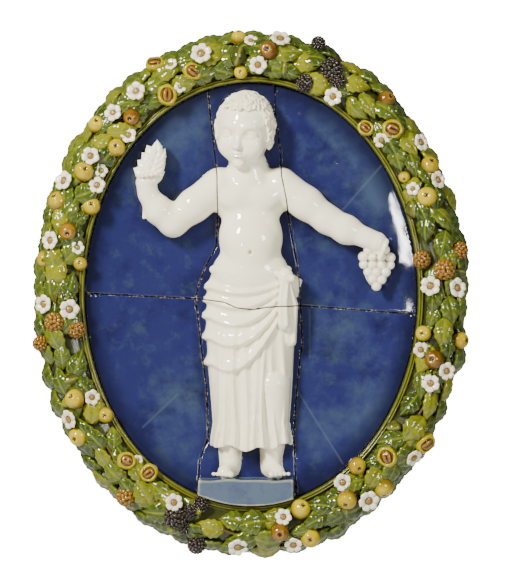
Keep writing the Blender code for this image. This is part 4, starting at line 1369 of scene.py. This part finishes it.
def knobbedShape(name, form):
    # round knobs packed in a spiral over a ball
    built, marks = startShape()
    golden = math.pi * (3.0 - math.sqrt(5.0))
    unit = fruit["radius"]
    for number in range(form["knobs"]):
        height = 1.0 - form["down"] * (number + 0.5) / form["knobs"]
        radius = math.sqrt(1.0 - height * height)
        angle = golden * number
        spot = Vector((radius * math.cos(angle), radius * math.sin(angle), height)) * form["core"] * unit
        made = bmesh.ops.create_icosphere(
            built, subdivisions=2, radius=form["knob"] * unit, matrix=Matrix.Translation(spot))
        for vert in made["verts"]:
            # the knobs' feet, and the core between them below, take the dark mark: painted shade between the
            # knobs
            proud = (vert.co.length / unit - form["core"]) / form["knob"]
            vert[marks["rib"]] = max(0.0, proud - 0.45) * 1.8
            vert[marks["mark"]] = max(0.0, 0.45 - proud)
    core = bmesh.ops.create_icosphere(built, subdivisions=3, radius=form["core"] * unit)
    for vert in core["verts"]:
        vert[marks["mark"]] = 1.0
    return shapeObject(name, built)


husk = {
    "profile": ((0.0, -0.9), (0.62, -0.75), (0.95, -0.25), (1.04, 0.12), (1.00, 0.42), (0.90, 0.62),
                (0.80, 0.68), (0.70, 0.64), (0.64, 0.48), (0.50, 0.30), (0.0, 0.24)),
    "segments": 28,
    "spine": 0.045,
}

huskGlaze = {
    # yellow with green run into it
    "name": "husk yellow green glaze", "tones": ("#56600c", "#8a7e04", "#a09204"),
    "under": "#3c440c",
    "hollow": "#3a300a", "rib": "#a89a0a", "ribShare": 0.5, "mark": "#3a200a", "patch": 14.0, "crinkle": 3.0,
    "relief": 0.35, "roughness": (0.08, 0.22),
}

nutGlaze = {
    # chestnut brown with gold between dark ribs
    "name": "chestnut brown glaze", "tones": ("#44240a", "#664008", "#805818"),
    "under": "#3c1c08",
    "hollow": "#200c06", "rib": "#a07a2c", "ribShare": 0.6, "mark": "#1c0a04", "patch": 8.0, "crinkle": 2.6,
    "relief": 0.35, "roughness": (0.06, 0.18),
}


def huskShape(name):
    # the opened husk: a bowl with a thick wavy lip
    built, marks = startShape()
    unit, count = fruit["radius"], husk["segments"]
    rings = []
    for index, (radius, height) in enumerate(husk["profile"]):
        if radius == 0.0:
            rings.append([built.verts.new((0, 0, height * unit))])
            continue
        ring = []
        for k in range(count):
            angle = 2 * math.pi * k / count
            wave = 1.0 + husk["spine"] * math.sin(7 * angle + 2.1 * index) + 0.06 * math.sin(2 * angle + 1.0)
            wave += 0.03 * math.sin(5 * angle + 0.7 * index)
            tall = height + 0.06 * math.sin(3 * angle) * (1.0 if height > 0.4 else 0.0)
            wide = radius * wave * unit
            vert = built.verts.new((math.cos(angle) * wide, math.sin(angle) * wide, tall * unit))
            vert[marks["rib"]] = 1.0 if 4 <= index <= 6 else 0.0
            vert[marks["mark"]] = 0.9 if index >= 8 else 0.0
            vert[marks["low"]] = 1.0 if index <= 1 else 0.0
            ring.append(vert)
        rings.append(ring)
    for a, b in zip(rings, rings[1:]):
        for k in range(count):
            following = (k + 1) % count
            if len(a) == 1:
                built.faces.new((a[0], b[following], b[k]))
            elif len(b) == 1:
                built.faces.new((a[k], a[following], b[0]))
            else:
                built.faces.new((a[k], a[following], b[following], b[k]))
    return shapeObject(name, built)


def nutShape(name):
    # the chestnut in the husk, with grooves running to its point
    built, marks = startShape()
    bmesh.ops.create_uvsphere(built, u_segments=36, v_segments=20, radius=1.0)
    for vert in built.verts:
        n = vert.co.normalized()
        across = math.atan2(n.y, max(0.05, n.z)) * 1.25
        groove = 0.5 + 0.5 * math.cos(5.5 * across)
        fade = max(0.0, 1.0 - abs(n.x)) ** 0.4
        size = (1.0 - 0.07 * groove * fade) * fruit["radius"]
        vert.co = Vector((n.x * 0.72, n.y * 0.64, n.z * 0.46)) * size
        vert.co.z += 0.42 * fruit["radius"]
        vert[marks["mark"]] = groove ** 4 * fade
        vert[marks["rib"]] = (1.0 - groove) ** 2 * 0.9
    return shapeObject(name, built)


blossom = {
    # share of the radius, height in shares of the radius, ochre, dark ring
    "rows": ((0.13, 0.20, 1.0, 0.0), (0.23, 0.17, 1.0, 0.2), (0.30, 0.06, 0.5, 0.9), (0.38, 0.08, 0.1, 0.65),
             (0.52, 0.17, 0.0, 0.0), (0.72, 0.24, 0.0, 0.0), (0.88, 0.25, 0.0, 0.0), (1.00, 0.17, 0.0, 0.0),
             (0.96, 0.04, 0.0, 0.0), (0.45, -0.10, 0.0, 0.0)),
    "segments": 48,
    "notch": 0.20,
}

blossomGlaze = {
    # white petals, an ochre button with a brown ring round it
    "name": "white petal glaze", "tones": ("#d8cca4", "#efe6c6", "#f8f2d8"),
    "under": "#7a744c", "hollow": "#8a7a50",
    "rib": "#8a6a14", "ribShare": 1.0, "mark": "#43280e", "patch": 10.0, "crinkle": 3.4, "relief": 0.30,
    "roughness": (0.08, 0.20),
}


def blossomShape(name, petals, cup, start):
    # round petals run together in one ruffled disc, closed by a vertex above and below
    built, marks = startShape()
    unit, count = fruit["radius"], blossom["segments"]
    top = built.verts.new((0, 0, 0.22 * unit))
    top[marks["rib"]] = 1.0
    rings = []
    for reach, height, ochre, dark in blossom["rows"]:
        ring = []
        for k in range(count):
            angle = 2 * math.pi * k / count
            lobe = abs(math.cos(petals / 2.0 * angle + start))
            seam = 1.0 - lobe
            far = max(0.0, (reach - 0.3) / 0.7)
            wave = 0.03 * math.sin(11 * angle + start) - blossom["notch"] * seam ** 1.6
            wide = reach * (1.0 + far * wave) * unit
            tall = height * (1.0 + (cup - 1.0) * far) + far * (0.02 * math.sin(7 * angle) - 0.13 * seam ** 2)
            vert = built.verts.new((math.cos(angle) * wide, math.sin(angle) * wide, tall * unit))
            vert[marks["rib"]] = ochre
            vert[marks["mark"]] = max(dark, 0.7 * seam ** 3 if 0.3 < reach < 0.95 else 0.0)
            ring.append(vert)
        rings.append(ring)
    bottom = built.verts.new((0, 0, -0.10 * unit))
    for k in range(count):
        following = (k + 1) % count
        built.faces.new((top, rings[0][k], rings[0][following]))
        built.faces.new((bottom, rings[-1][following], rings[-1][k]))
        for a, b in zip(rings, rings[1:]):
            built.faces.new((a[k], b[k], b[following], a[following]))
    return shapeObject(name, built)


# Where the photo shows each fruit and blossom: pixel across, pixel down, radius in pixels

spots = {
    "apple": ((239, 40, 8), (241, 74, 7), (98, 126, 9), (118, 149, 9), (86, 173, 10), (60, 202, 10),
              (93, 207, 9), (46.5, 259, 8.5), (82, 264, 7), (77, 398, 10), (107, 414, 8),
              (80, 435, 10), (300, 507, 10), (310, 536, 10), (346, 497, 10), (382, 485, 10),
              (356, 464, 9), (422, 333, 8), (459, 340, 8.5), (428, 167, 9.5), (425, 198, 10),
              (403, 178, 6)),
    "medlar": ((268, 53.5, 10), (133, 119, 9), (70, 232, 9.5), (279, 529, 10), (432, 359, 10), (385, 101, 9)),
    "chestnut": ((156, 67, 9), (193, 74, 9), (168, 97, 10), (391, 131, 10), (365, 130, 8), (423, 441, 10),
                 (386, 455, 10), (127, 459, 9), (150, 471, 9)),
    "cone": ((57, 322, 10), (78, 329, 9), (42, 343, 8), (420, 260, 9), (442, 270, 10.5), (458, 251, 9),
             (127, 495, 10)),
    "berry": ((318, 45, 8), (331, 72, 12), (337, 84, 9), (305, 85, 10), (176, 515, 12), (190, 510, 9),
              (201, 503, 9), (185, 525, 8), (197, 543, 10)),
    "blossom": ((202, 57, 9.5), (172, 67, 6), (181, 89, 5.5), (251, 43, 6.5), (280, 41.5, 9), (258, 68, 8),
                (332, 99, 8), (380, 142, 7), (419, 144, 8), (411, 190, 6), (436, 181, 8), (428, 286, 9),
                (454.5, 288, 9), (419, 349, 7), (444, 370, 8), (428, 382, 8), (412, 456, 8), (341.5, 480, 8),
                (367, 498, 9.5), (283, 514, 7.5), (293, 542, 8), (238, 544, 9), (175, 499.5, 8),
                (139, 458, 4.5), (71, 418, 9), (94, 396, 7), (72, 309, 9), (46, 304, 8.5),
                (79.5, 248, 6), (53, 241, 8.5), (66, 182, 9), (99, 186.5, 7.5), (103, 172, 6),
                (93, 158, 8), (130, 137, 7), (115, 115, 8),
                (138, 94, 8.5)),
    "bud": ((238, 59, 9), (411, 210, 8), (393, 426, 7), (72, 379, 8), (458, 273, 7), (285, 70, 7)),
}

bunchClocks = (357, 18, 41, 59, 80, 101, 126, 142, 164, 196, 216, 236, 259, 278, 293, 312, 333)

leafFan = (
    # share of the way to the next bunch, place across the band, fan in degrees, size, tone
    (0.06, 0.070, 8.0, 1.00, 0.40), (0.14, 0.095, 14.0, 1.14, 0.35), (0.22, 0.030, -26.0, 1.00, 0.65),
    (0.34, 0.071, -14.0, 1.10, 0.25), (0.40, 0.095, 18.0, 1.16, 0.55), (0.48, 0.036, 8.0, 1.05, 0.40),
    (0.61, 0.070, 14.0, 1.10, 0.60), (0.66, 0.095, 12.0, 1.14, 0.30), (0.72, 0.031, -22.0, 1.00, 0.30),
    (0.90, 0.094, 20.0, 1.14, 0.45), (0.88, 0.056, -8.0, 1.04, 0.60),
)

leafSet = {
    "seed": 7,
    "along": 0.05,            # how far a leaf may stray along the band, as a share of the way
    "out": (-0.004, 0.003),   # and across it
    "turn": 20.0,
    "pitch": 0.10,
    "roll": 0.20,
    "lift": (0.005, 0.012),
    "size": (0.88, 1.10),
    "tone": 0.34,
}

sepals = {
    # how many small leaves peep out round each blossom and some of the fruit
    "round": (("blossom", 3), ("apple", 1), ("medlar", 2), ("berry", 1)),
    "within": (0.020, 0.088),
    "rise": 0.010,
    "keep": (0.018, 0.092),
    "size": (0.34, 0.48),
    "tone": (0.2, 0.9),
}


def surfaceAxes(clock, out):
    outward, onward = ovalAxes(clock)
    slope = (frameDepth(out + 0.01) - frameDepth(out - 0.01)) / 0.02
    off = (Vector((0.0, -1.0, 0.0)) - outward * slope).normalized()
    return outward, onward, off


def turnFor(along, off):
    side = off.cross(along).normalized()
    return Matrix((along, side, off)).transposed().to_euler("XYZ")


def placeOn(at, along, off, size, tone, variant):
    off = off.normalized()
    along = (along - off * along.dot(off)).normalized()
    return {"at": at, "turn": turnFor(along, off), "size": size, "tone": tone, "variant": int(variant)}


def fruitPlaces(kind, lift, random, tilt=0.35):
    places = []
    low, high = fruit["within"]
    for px, py, radius in spots[kind]:
        x, z = fromPhoto(px, py)
        clock, out = clockAndOut(x, z)
        outward, onward, off = surfaceAxes(clock, min(max(out, low), high))
        off = off - Vector((0.0, fruit["forward"], 0.0)) + Vector(random.uniform(-tilt, tilt, 3))
        depth = frameDepth(min(out, fruit["deepest"])) + lift * radius * oval["pixel"]
        turn = random.uniform(0.0, 2 * math.pi)
        along = onward * math.cos(turn) + outward * math.sin(turn)
        size = radius * oval["pixel"] / fruit["radius"]
        places.append(placeOn(Vector((x, -depth, z)), along, off, size,
                              random.uniform(*fruit["tone"]), random.integers(0, 3)))
    return places


def bunchGaps():
    # each bunch's place round the clock and the way to the next, in degrees
    following = bunchClocks[1:] + bunchClocks[:1]
    return [(clock, (after - clock) % 360) for clock, after in zip(bunchClocks, following)]


def leafPlaces(random):
    places = []
    for clock, gap in bunchGaps():
        for share, out, fan, size, tone in leafFan:
            spot = clock + (share + random.uniform(-leafSet["along"], leafSet["along"])) * gap
            out = out + random.uniform(*leafSet["out"])
            outward, onward, off = surfaceAxes(spot, out)
            turn = math.radians(fan + random.uniform(-leafSet["turn"], leafSet["turn"]))
            along = outward * math.sin(turn) + onward * math.cos(turn)
            side = outward * math.cos(turn) - onward * math.sin(turn)
            off = off - along * leafSet["pitch"] + side * random.uniform(-leafSet["roll"], leafSet["roll"])
            at = ovalPoint(spot, out, frameDepth(out) + random.uniform(*leafSet["lift"]))
            places.append(placeOn(at, along, off, size * random.uniform(*leafSet["size"]),
                                  tone + random.uniform(-leafSet["tone"], leafSet["tone"]),
                                  random.integers(0, 60)))
    return places


def sepalPlaces(random):
    places = []
    low, high = sepals["within"]
    inner, outer = sepals["keep"]
    for kind, count in sepals["round"]:
        for px, py, radius in spots[kind]:
            x, z = fromPhoto(px, py)
            clock, out = clockAndOut(x, z)
            outward, onward, off = surfaceAxes(clock, min(max(out, low), high))
            middle = Vector((x, -frameDepth(min(out, high)) - sepals["rise"], z))
            start = random.uniform(0.0, 2 * math.pi)
            for number in range(count):
                angle = start + 2 * math.pi * number / max(count, 2) + random.uniform(-0.4, 0.4)
                along = onward * math.cos(angle) + outward * math.sin(angle)
                at = middle + along * radius * oval["pixel"]
                if inner < clockAndOut(at.x, at.z)[1] < outer:
                    places.append(placeOn(at, along, off, random.uniform(*sepals["size"]),
                                          random.uniform(*sepals["tone"]), random.integers(0, 2)))
    return places


def scatterTree(name, sources, material):
    tree = bpy.data.node_groups.new(name, "GeometryNodeTree")
    panel = tree.interface
    panel.new_socket("Geometry", in_out="INPUT", socket_type="NodeSocketGeometry")
    scale = panel.new_socket("Overall size", in_out="INPUT", socket_type="NodeSocketFloat")
    scale.default_value = 1.0
    panel.new_socket("Geometry", in_out="OUTPUT", socket_type="NodeSocketGeometry")
    points = addNode(tree, "NodeGroupInput")
    turn = addNode(tree, "GeometryNodeInputNamedAttribute", {"Name": "turn"}, data_type="FLOAT_VECTOR")
    size = addNode(tree, "GeometryNodeInputNamedAttribute", {"Name": "size"}, data_type="FLOAT")
    pick = addNode(tree, "GeometryNodeInputNamedAttribute", {"Name": "variant"}, data_type="INT")
    choice = addNode(tree, "GeometryNodeJoinGeometry")
    for source in reversed(sources):
        shape = addNode(tree, "GeometryNodeObjectInfo", {"Object": source, "As Instance": True}, "Geometry")
        tree.links.new(shape, choice.node.inputs[0])
    whole = addNode(tree, "ShaderNodeMath", {0: size, 1: points.node.outputs[1]}, operation="MULTIPLY")
    placed = addNode(tree, "GeometryNodeInstanceOnPoints", {
        "Points": points, "Instance": choice, "Pick Instance": True, "Instance Index": pick,
        "Rotation": turn, "Scale": whole})
    real = addNode(tree, "GeometryNodeRealizeInstances", {"Geometry": placed})
    coated = addNode(tree, "GeometryNodeSetMaterial", {"Geometry": real, "Material": material})
    addNode(tree, "NodeGroupOutput", {0: coated})
    return tree, scale.identifier


def scatter(name, places, sources, material, overall=1.0):
    points = bpy.data.meshes.new(name + "_points")
    points.from_pydata([p["at"] for p in places], [], [])
    for key, kind, field in (("turn", "FLOAT_VECTOR", "vector"), ("size", "FLOAT", "value"),
                             ("tone", "FLOAT", "value"), ("variant", "INT", "value")):
        layer = points.attributes.new(key, kind, "POINT")
        for index, p in enumerate(places):
            value = p[key] % len(sources) if key == "variant" else p[key]
            setattr(layer.data[index], field, value)
    holder = addObject(name + "_holder", points)
    tree, sizeInput = scatterTree(name + " scatter", sources, material)
    modifier = holder.modifiers.new("scatter", "NODES")
    modifier.node_group = tree
    modifier[sizeInput] = overall
    depsgraph = bpy.context.evaluated_depsgraph_get()
    mesh = bpy.data.meshes.new_from_object(holder.evaluated_get(depsgraph))
    mesh.name = name
    bpy.data.objects.remove(holder, do_unlink=True)
    for source in sources:
        bpy.data.objects.remove(source, do_unlink=True)
    print(name, len(mesh.polygons), "faces")
    return addObject(name, mesh)


def finishPiece(item, node, material=None):
    if material is not None:
        item.data.materials.clear()
        item.data.materials.append(material)
    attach(item, "root")
    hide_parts(node)


stems = {
    "radius": 0.0030, "rise": 0.013, "branch": 0.026,
    "out": 0.055, "sway": 0.010,
    "along": (0.20, 0.62),        # where it starts on the way to the next bunch, and how far it goes
    "branchAlong": (0.24, 0.20),
}

stemGlaze = {
    # brown and olive twigs between the leaves
    "name": "brown stem glaze", "tones": ("#30200c", "#4c3a12", "#585218"),
    "under": "#1c160a", "hollow": "#1c1208",
    "rib": "#706a22", "ribShare": 0.4, "mark": "#241408", "patch": 14.0, "crinkle": 3.0, "relief": 0.35,
    "roughness": (0.10, 0.25),
}


def makeStems():
    # woody stems from each bunch to the next, with two side branches
    built = startShape()[0]
    start, length = stems["along"]
    branchStart, branchLength = stems["branchAlong"]
    for clock, gap in bunchGaps():
        route = []
        for t in np.linspace(0.0, 1.0, 9):
            out = stems["out"] + stems["sway"] * math.sin(3.0 * t + clock)
            rise = stems["rise"] * (0.4 + 0.6 * math.sin(math.pi * t))
            route.append(ovalPoint(clock + (start + length * t) * gap, out, frameDepth(out) + rise))
        addTube(built, route, stems["radius"])
        for side in (-1.0, 1.0):
            branch = []
            for t in np.linspace(0.0, 1.0, 6):
                out = stems["out"] + side * stems["branch"] * t ** 1.4
                depth = frameDepth(out) + stems["rise"] * 0.8
                branch.append(ovalPoint(clock + (branchStart + branchLength * t) * gap, out, depth))
            addTube(built, branch, stems["radius"] * 0.7)
    return shapeObject("stems", built, 0.5)


def addTube(built, route, radius, sides=8):
    rings = []
    for index, spot in enumerate(route):
        before = route[max(0, index - 1)]
        after = route[min(len(route) - 1, index + 1)]
        run = (after - before).normalized()
        side = run.cross(Vector((0, 1, 0))).normalized()
        up = side.cross(run)
        rings.append([built.verts.new(spot + (side * math.cos(a) + up * math.sin(a)) * radius)
                      for a in [2 * math.pi * k / sides for k in range(sides)]])
    for a, b in zip(rings, rings[1:]):
        for k in range(sides):
            built.faces.new((a[k], a[(k + 1) % sides], b[(k + 1) % sides], b[k]))
    built.faces.new(rings[0])
    built.faces.new(rings[-1])


def makeGarland():
    random = np.random.default_rng(leafSet["seed"])
    node, slot = "garland_frame", "garland_glaze"
    finishPiece(makeFrameGround(), node, glazeMaterial(bandGlaze))
    green = glazeMaterial(leafGlaze)
    blades = [leafShape("leaf_a", 0.008), leafShape("leaf_b", 0.011, 0.8, 0.88, 0.010),
              leafShape("leaf_c", 0.006, 1.3, 1.08), leafShape("leaf_d", 0.009, 1.1, 0.96, -0.012),
              leafShape("leaf_e", 0.012, 1.0, 1.12, 0.006), leafShape("leaf_f", 0.007, 0.7, 0.80, -0.006)]
    finishPiece(scatter("leaves", leafPlaces(random), blades, green), node)
    small = [leafShape("small_leaf_a", 0.012, 1.4, 1.15, 0.0, 8, 4),
             leafShape("small_leaf_b", 0.016, 1.2, 0.95, 0.02, 8, 4)]
    finishPiece(scatter("small_leaves", sepalPlaces(random), small, green), node)
    finishPiece(makeStems(), node, glazeMaterial(stemGlaze))
    print("leaves and stems done")
    for name, kind, shape, glaze, lift, tilt in (
        ("yellow_fruit", "apple", fruitShape("apple", appleForm), appleGlaze, 0.70, 0.75),
        ("orange_fruit", "medlar", fruitShape("medlar", medlarForm), medlarGlaze, 0.70, 0.45),
        ("rough_fruit", "cone", knobbedShape("cone", cone), coneGlaze, 0.70, 0.5),
        ("buds", "bud", fruitShape("bud", budForm), budGlaze, 0.60, 0.4),
        ("blackberries", "berry", knobbedShape("berry", berry), berryGlaze, 0.55, 0.5),
    ):
        places = fruitPlaces(kind, lift, random, tilt)
        finishPiece(scatter(name, places, [shape], glazeMaterial(glaze)), node)
    places = fruitPlaces("chestnut", 0.60, random, 0.3)
    finishPiece(scatter("chestnut_husks", places, [huskShape("husk")], glazeMaterial(huskGlaze)), node)
    finishPiece(scatter("chestnuts", places, [nutShape("nut")], glazeMaterial(nutGlaze)), node)
    petals = [blossomShape("blossom_a", 5, 1.0, 0.3), blossomShape("blossom_b", 5, 0.6, 1.1),
              blossomShape("blossom_c", 6, 0.9, 0.7)]
    places = fruitPlaces("blossom", 1.55, random, 0.22)
    finishPiece(scatter("blossoms", places, petals, glazeMaterial(blossomGlaze), 1.12), node)
    print("fruit and blossoms done")


whiteGlaze = {
    # the figure's thick white glaze, on the sprig and the grapes that it holds; greyer underneath as painted
    # shade, browner in hollows, partly pooled glaze and partly painted shade
    "name": "white tin glaze", "tones": ("#efe6c8", "#fbf6dc", "#fdfae6"),
    "under": "#948a64", "hollow": "#b09a68",
    "rib": "#fdfae6", "ribShare": 0.3, "mark": "#b8a880", "patch": 20.0, "crinkle": 6.0, "relief": 0.12,
    "roughness": (0.06, 0.14),
}


def makeSprigAndGrapes():
    white = glazeMaterial(whiteGlaze)
    start, end = Vector(sprig["stem"][1]), Vector(sprig["stem"][2])
    places = []
    count = sprig["leaves"]
    for number in range(count):
        share = sprig["first"] + (1.0 - sprig["first"]) * number / (count - 1)
        spot = start.lerp(end, share)
        side = 0.0 if number == count - 1 else (-1.0 if number % 2 else 1.0)
        lean = math.radians(sprig["lean"] - sprig["leanStep"] * number) * side
        along = Vector((math.sin(lean), -0.15, math.cos(lean)))
        off, more = sprig["off"]
        at = Vector((spot.x, -sprig["depth"] - off - more * number, spot.y))
        at += along * sprig["size"] * leaf["length"] / 2
        places.append(placeOn(at, along, Vector((0.3 * side, -1.0, 0.0)), sprig["size"], 0.5, number))
    blades = [leafShape("sprig_a", 0.009, 1.4, 0.95), leafShape("sprig_b", 0.011, 1.2, 1.05, 0.008)]
    finishPiece(scatter("sprig_leaves", places, blades, white), "field_upper_left")
    random = np.random.default_rng(grapes["seed"])
    x, z = grapes["top"]
    places = []
    apart, down = grapes["apart"]
    for row, count in enumerate(grapes["rows"]):
        for number in range(count):
            across = (number - (count - 1) / 2) * grapes["radius"] * apart
            crown = grapes["crown"] * (1.0 - abs(across) / (grapes["radius"] * max(grapes["rows"])))
            jitter = random.uniform(-grapes["jitter"], grapes["jitter"], 3)
            at = Vector((x + across + jitter[0], -(grapes["depth"] + crown + jitter[1]),
                         z - row * grapes["radius"] * down + jitter[2]))
            size = grapes["radius"] / fruit["radius"] * random.uniform(*grapes["size"])
            places.append(placeOn(at, Vector((1, 0, 0)), Vector((0.2, -1.0, -0.5)), size, 0.5, 0))
    ball = fruitShape("grape", lambda around, up: (1.0 - 0.10 * math.exp(-(up / 0.16) ** 2), 0.0, 0.0))
    finishPiece(scatter("grapes", places, [ball], white), "field_upper_right")
    print("sprig and grapes done")


def makeField():
    material = fieldMaterial()
    for name, facts in sections.items():
        item = makeSection(name, facts)
        finishPiece(item, name, material)
        print(name, len(item.data.polygons), "faces")


# Stage, light and camera

studio = {
    "distance": 4.2,
    "middle": (256.0, 292.5),
    "tall": 585,
    "sensor": 24.0,
    "refDepth": 0.060,
    "sky": 0.22,
    "white": "#ffffff",
    "paper": "#dededc",
    "paperDull": 0.9,
    "sheets": (
        # name, how brightly it glows, corners
        ("floor", 0.0, ((-6, -6, -1.6), (6, -6, -1.6), (6, 6, -1.6), (-6, 6, -1.6))),
        ("backdrop", 17.0, ((-1.3, 5.0, -1.5), (1.3, 5.0, -1.5), (1.3, 5.0, 1.5), (-1.3, 5.0, 1.5))),
    ),
    "lamps": (
        # name, place, what it faces, width, height, roll in degrees, watts, tint
        ("key", (-2.2, -2.8, 1.9), (0, 0, 0), 0.55, 0.9, 0.0, 360.0, "#fffaf2"),
        ("fill", (2.4, -3.2, 0.8), (0, 0, 0), 0.8, 0.8, 0.0, 85.0, "#fbfaf6"),
        ("strip", (-1.22, -3.0, -0.20), (0.31, -0.07, 0.13), 0.055, 0.24, 28.0, 5.0, "#ffffff"),
    ),
}


def addCamera():
    camera = bpy.data.cameras.new("camera")
    camera.sensor_fit = "VERTICAL"
    camera.sensor_height = studio["sensor"]
    span = studio["tall"] * oval["pixel"]
    camera.lens = studio["sensor"] * studio["distance"] / span
    x, z = fromPhoto(*studio["middle"])
    item = addObject("camera", camera)
    item.location = (x, -studio["distance"] - studio["refDepth"], z)
    item.rotation_euler = (math.pi / 2, 0.0, 0.0)
    bpy.context.scene.camera = item


def addLamp(name, at, target, wide, tall, roll, power, tint):
    light = bpy.data.lights.new(name, "AREA")
    light.shape = "RECTANGLE"
    light.size = wide
    light.size_y = tall
    light.energy = power
    light.color = colour(tint)[:3]
    item = addObject(name, light)
    item.location = at
    facing = (Vector(target) - Vector(at)).to_track_quat("-Z", "Y").to_matrix()
    item.rotation_euler = (facing @ Matrix.Rotation(math.radians(roll), 3, "Z")).to_euler()


def addStage():
    # white paper, lit evenly from behind as in the photo
    for name, glow, corners in studio["sheets"]:
        material, _, shader, _ = startMaterial(name + " white")
        shader.inputs["Base Color"].default_value = colour(studio["paper"])
        shader.inputs["Roughness"].default_value = studio["paperDull"]
        shader.inputs["Emission Color"].default_value = colour(studio["white"])
        shader.inputs["Emission Strength"].default_value = glow
        mesh = bpy.data.meshes.new(name)
        mesh.from_pydata(corners, [], [(0, 1, 2, 3)])
        mesh.materials.append(material)
        addObject(name, mesh)
    world = bpy.data.worlds.new("soft sky")
    world.use_nodes = True
    sky = world.node_tree.nodes["Background"]
    sky.inputs[0].default_value = colour(studio["white"])
    sky.inputs[1].default_value = studio["sky"]
    bpy.context.scene.world = world
    for lamp in studio["lamps"]:
        addLamp(*lamp)


makeField()
makeSprigAndGrapes()
makeGarland()
addStage()
addCamera()
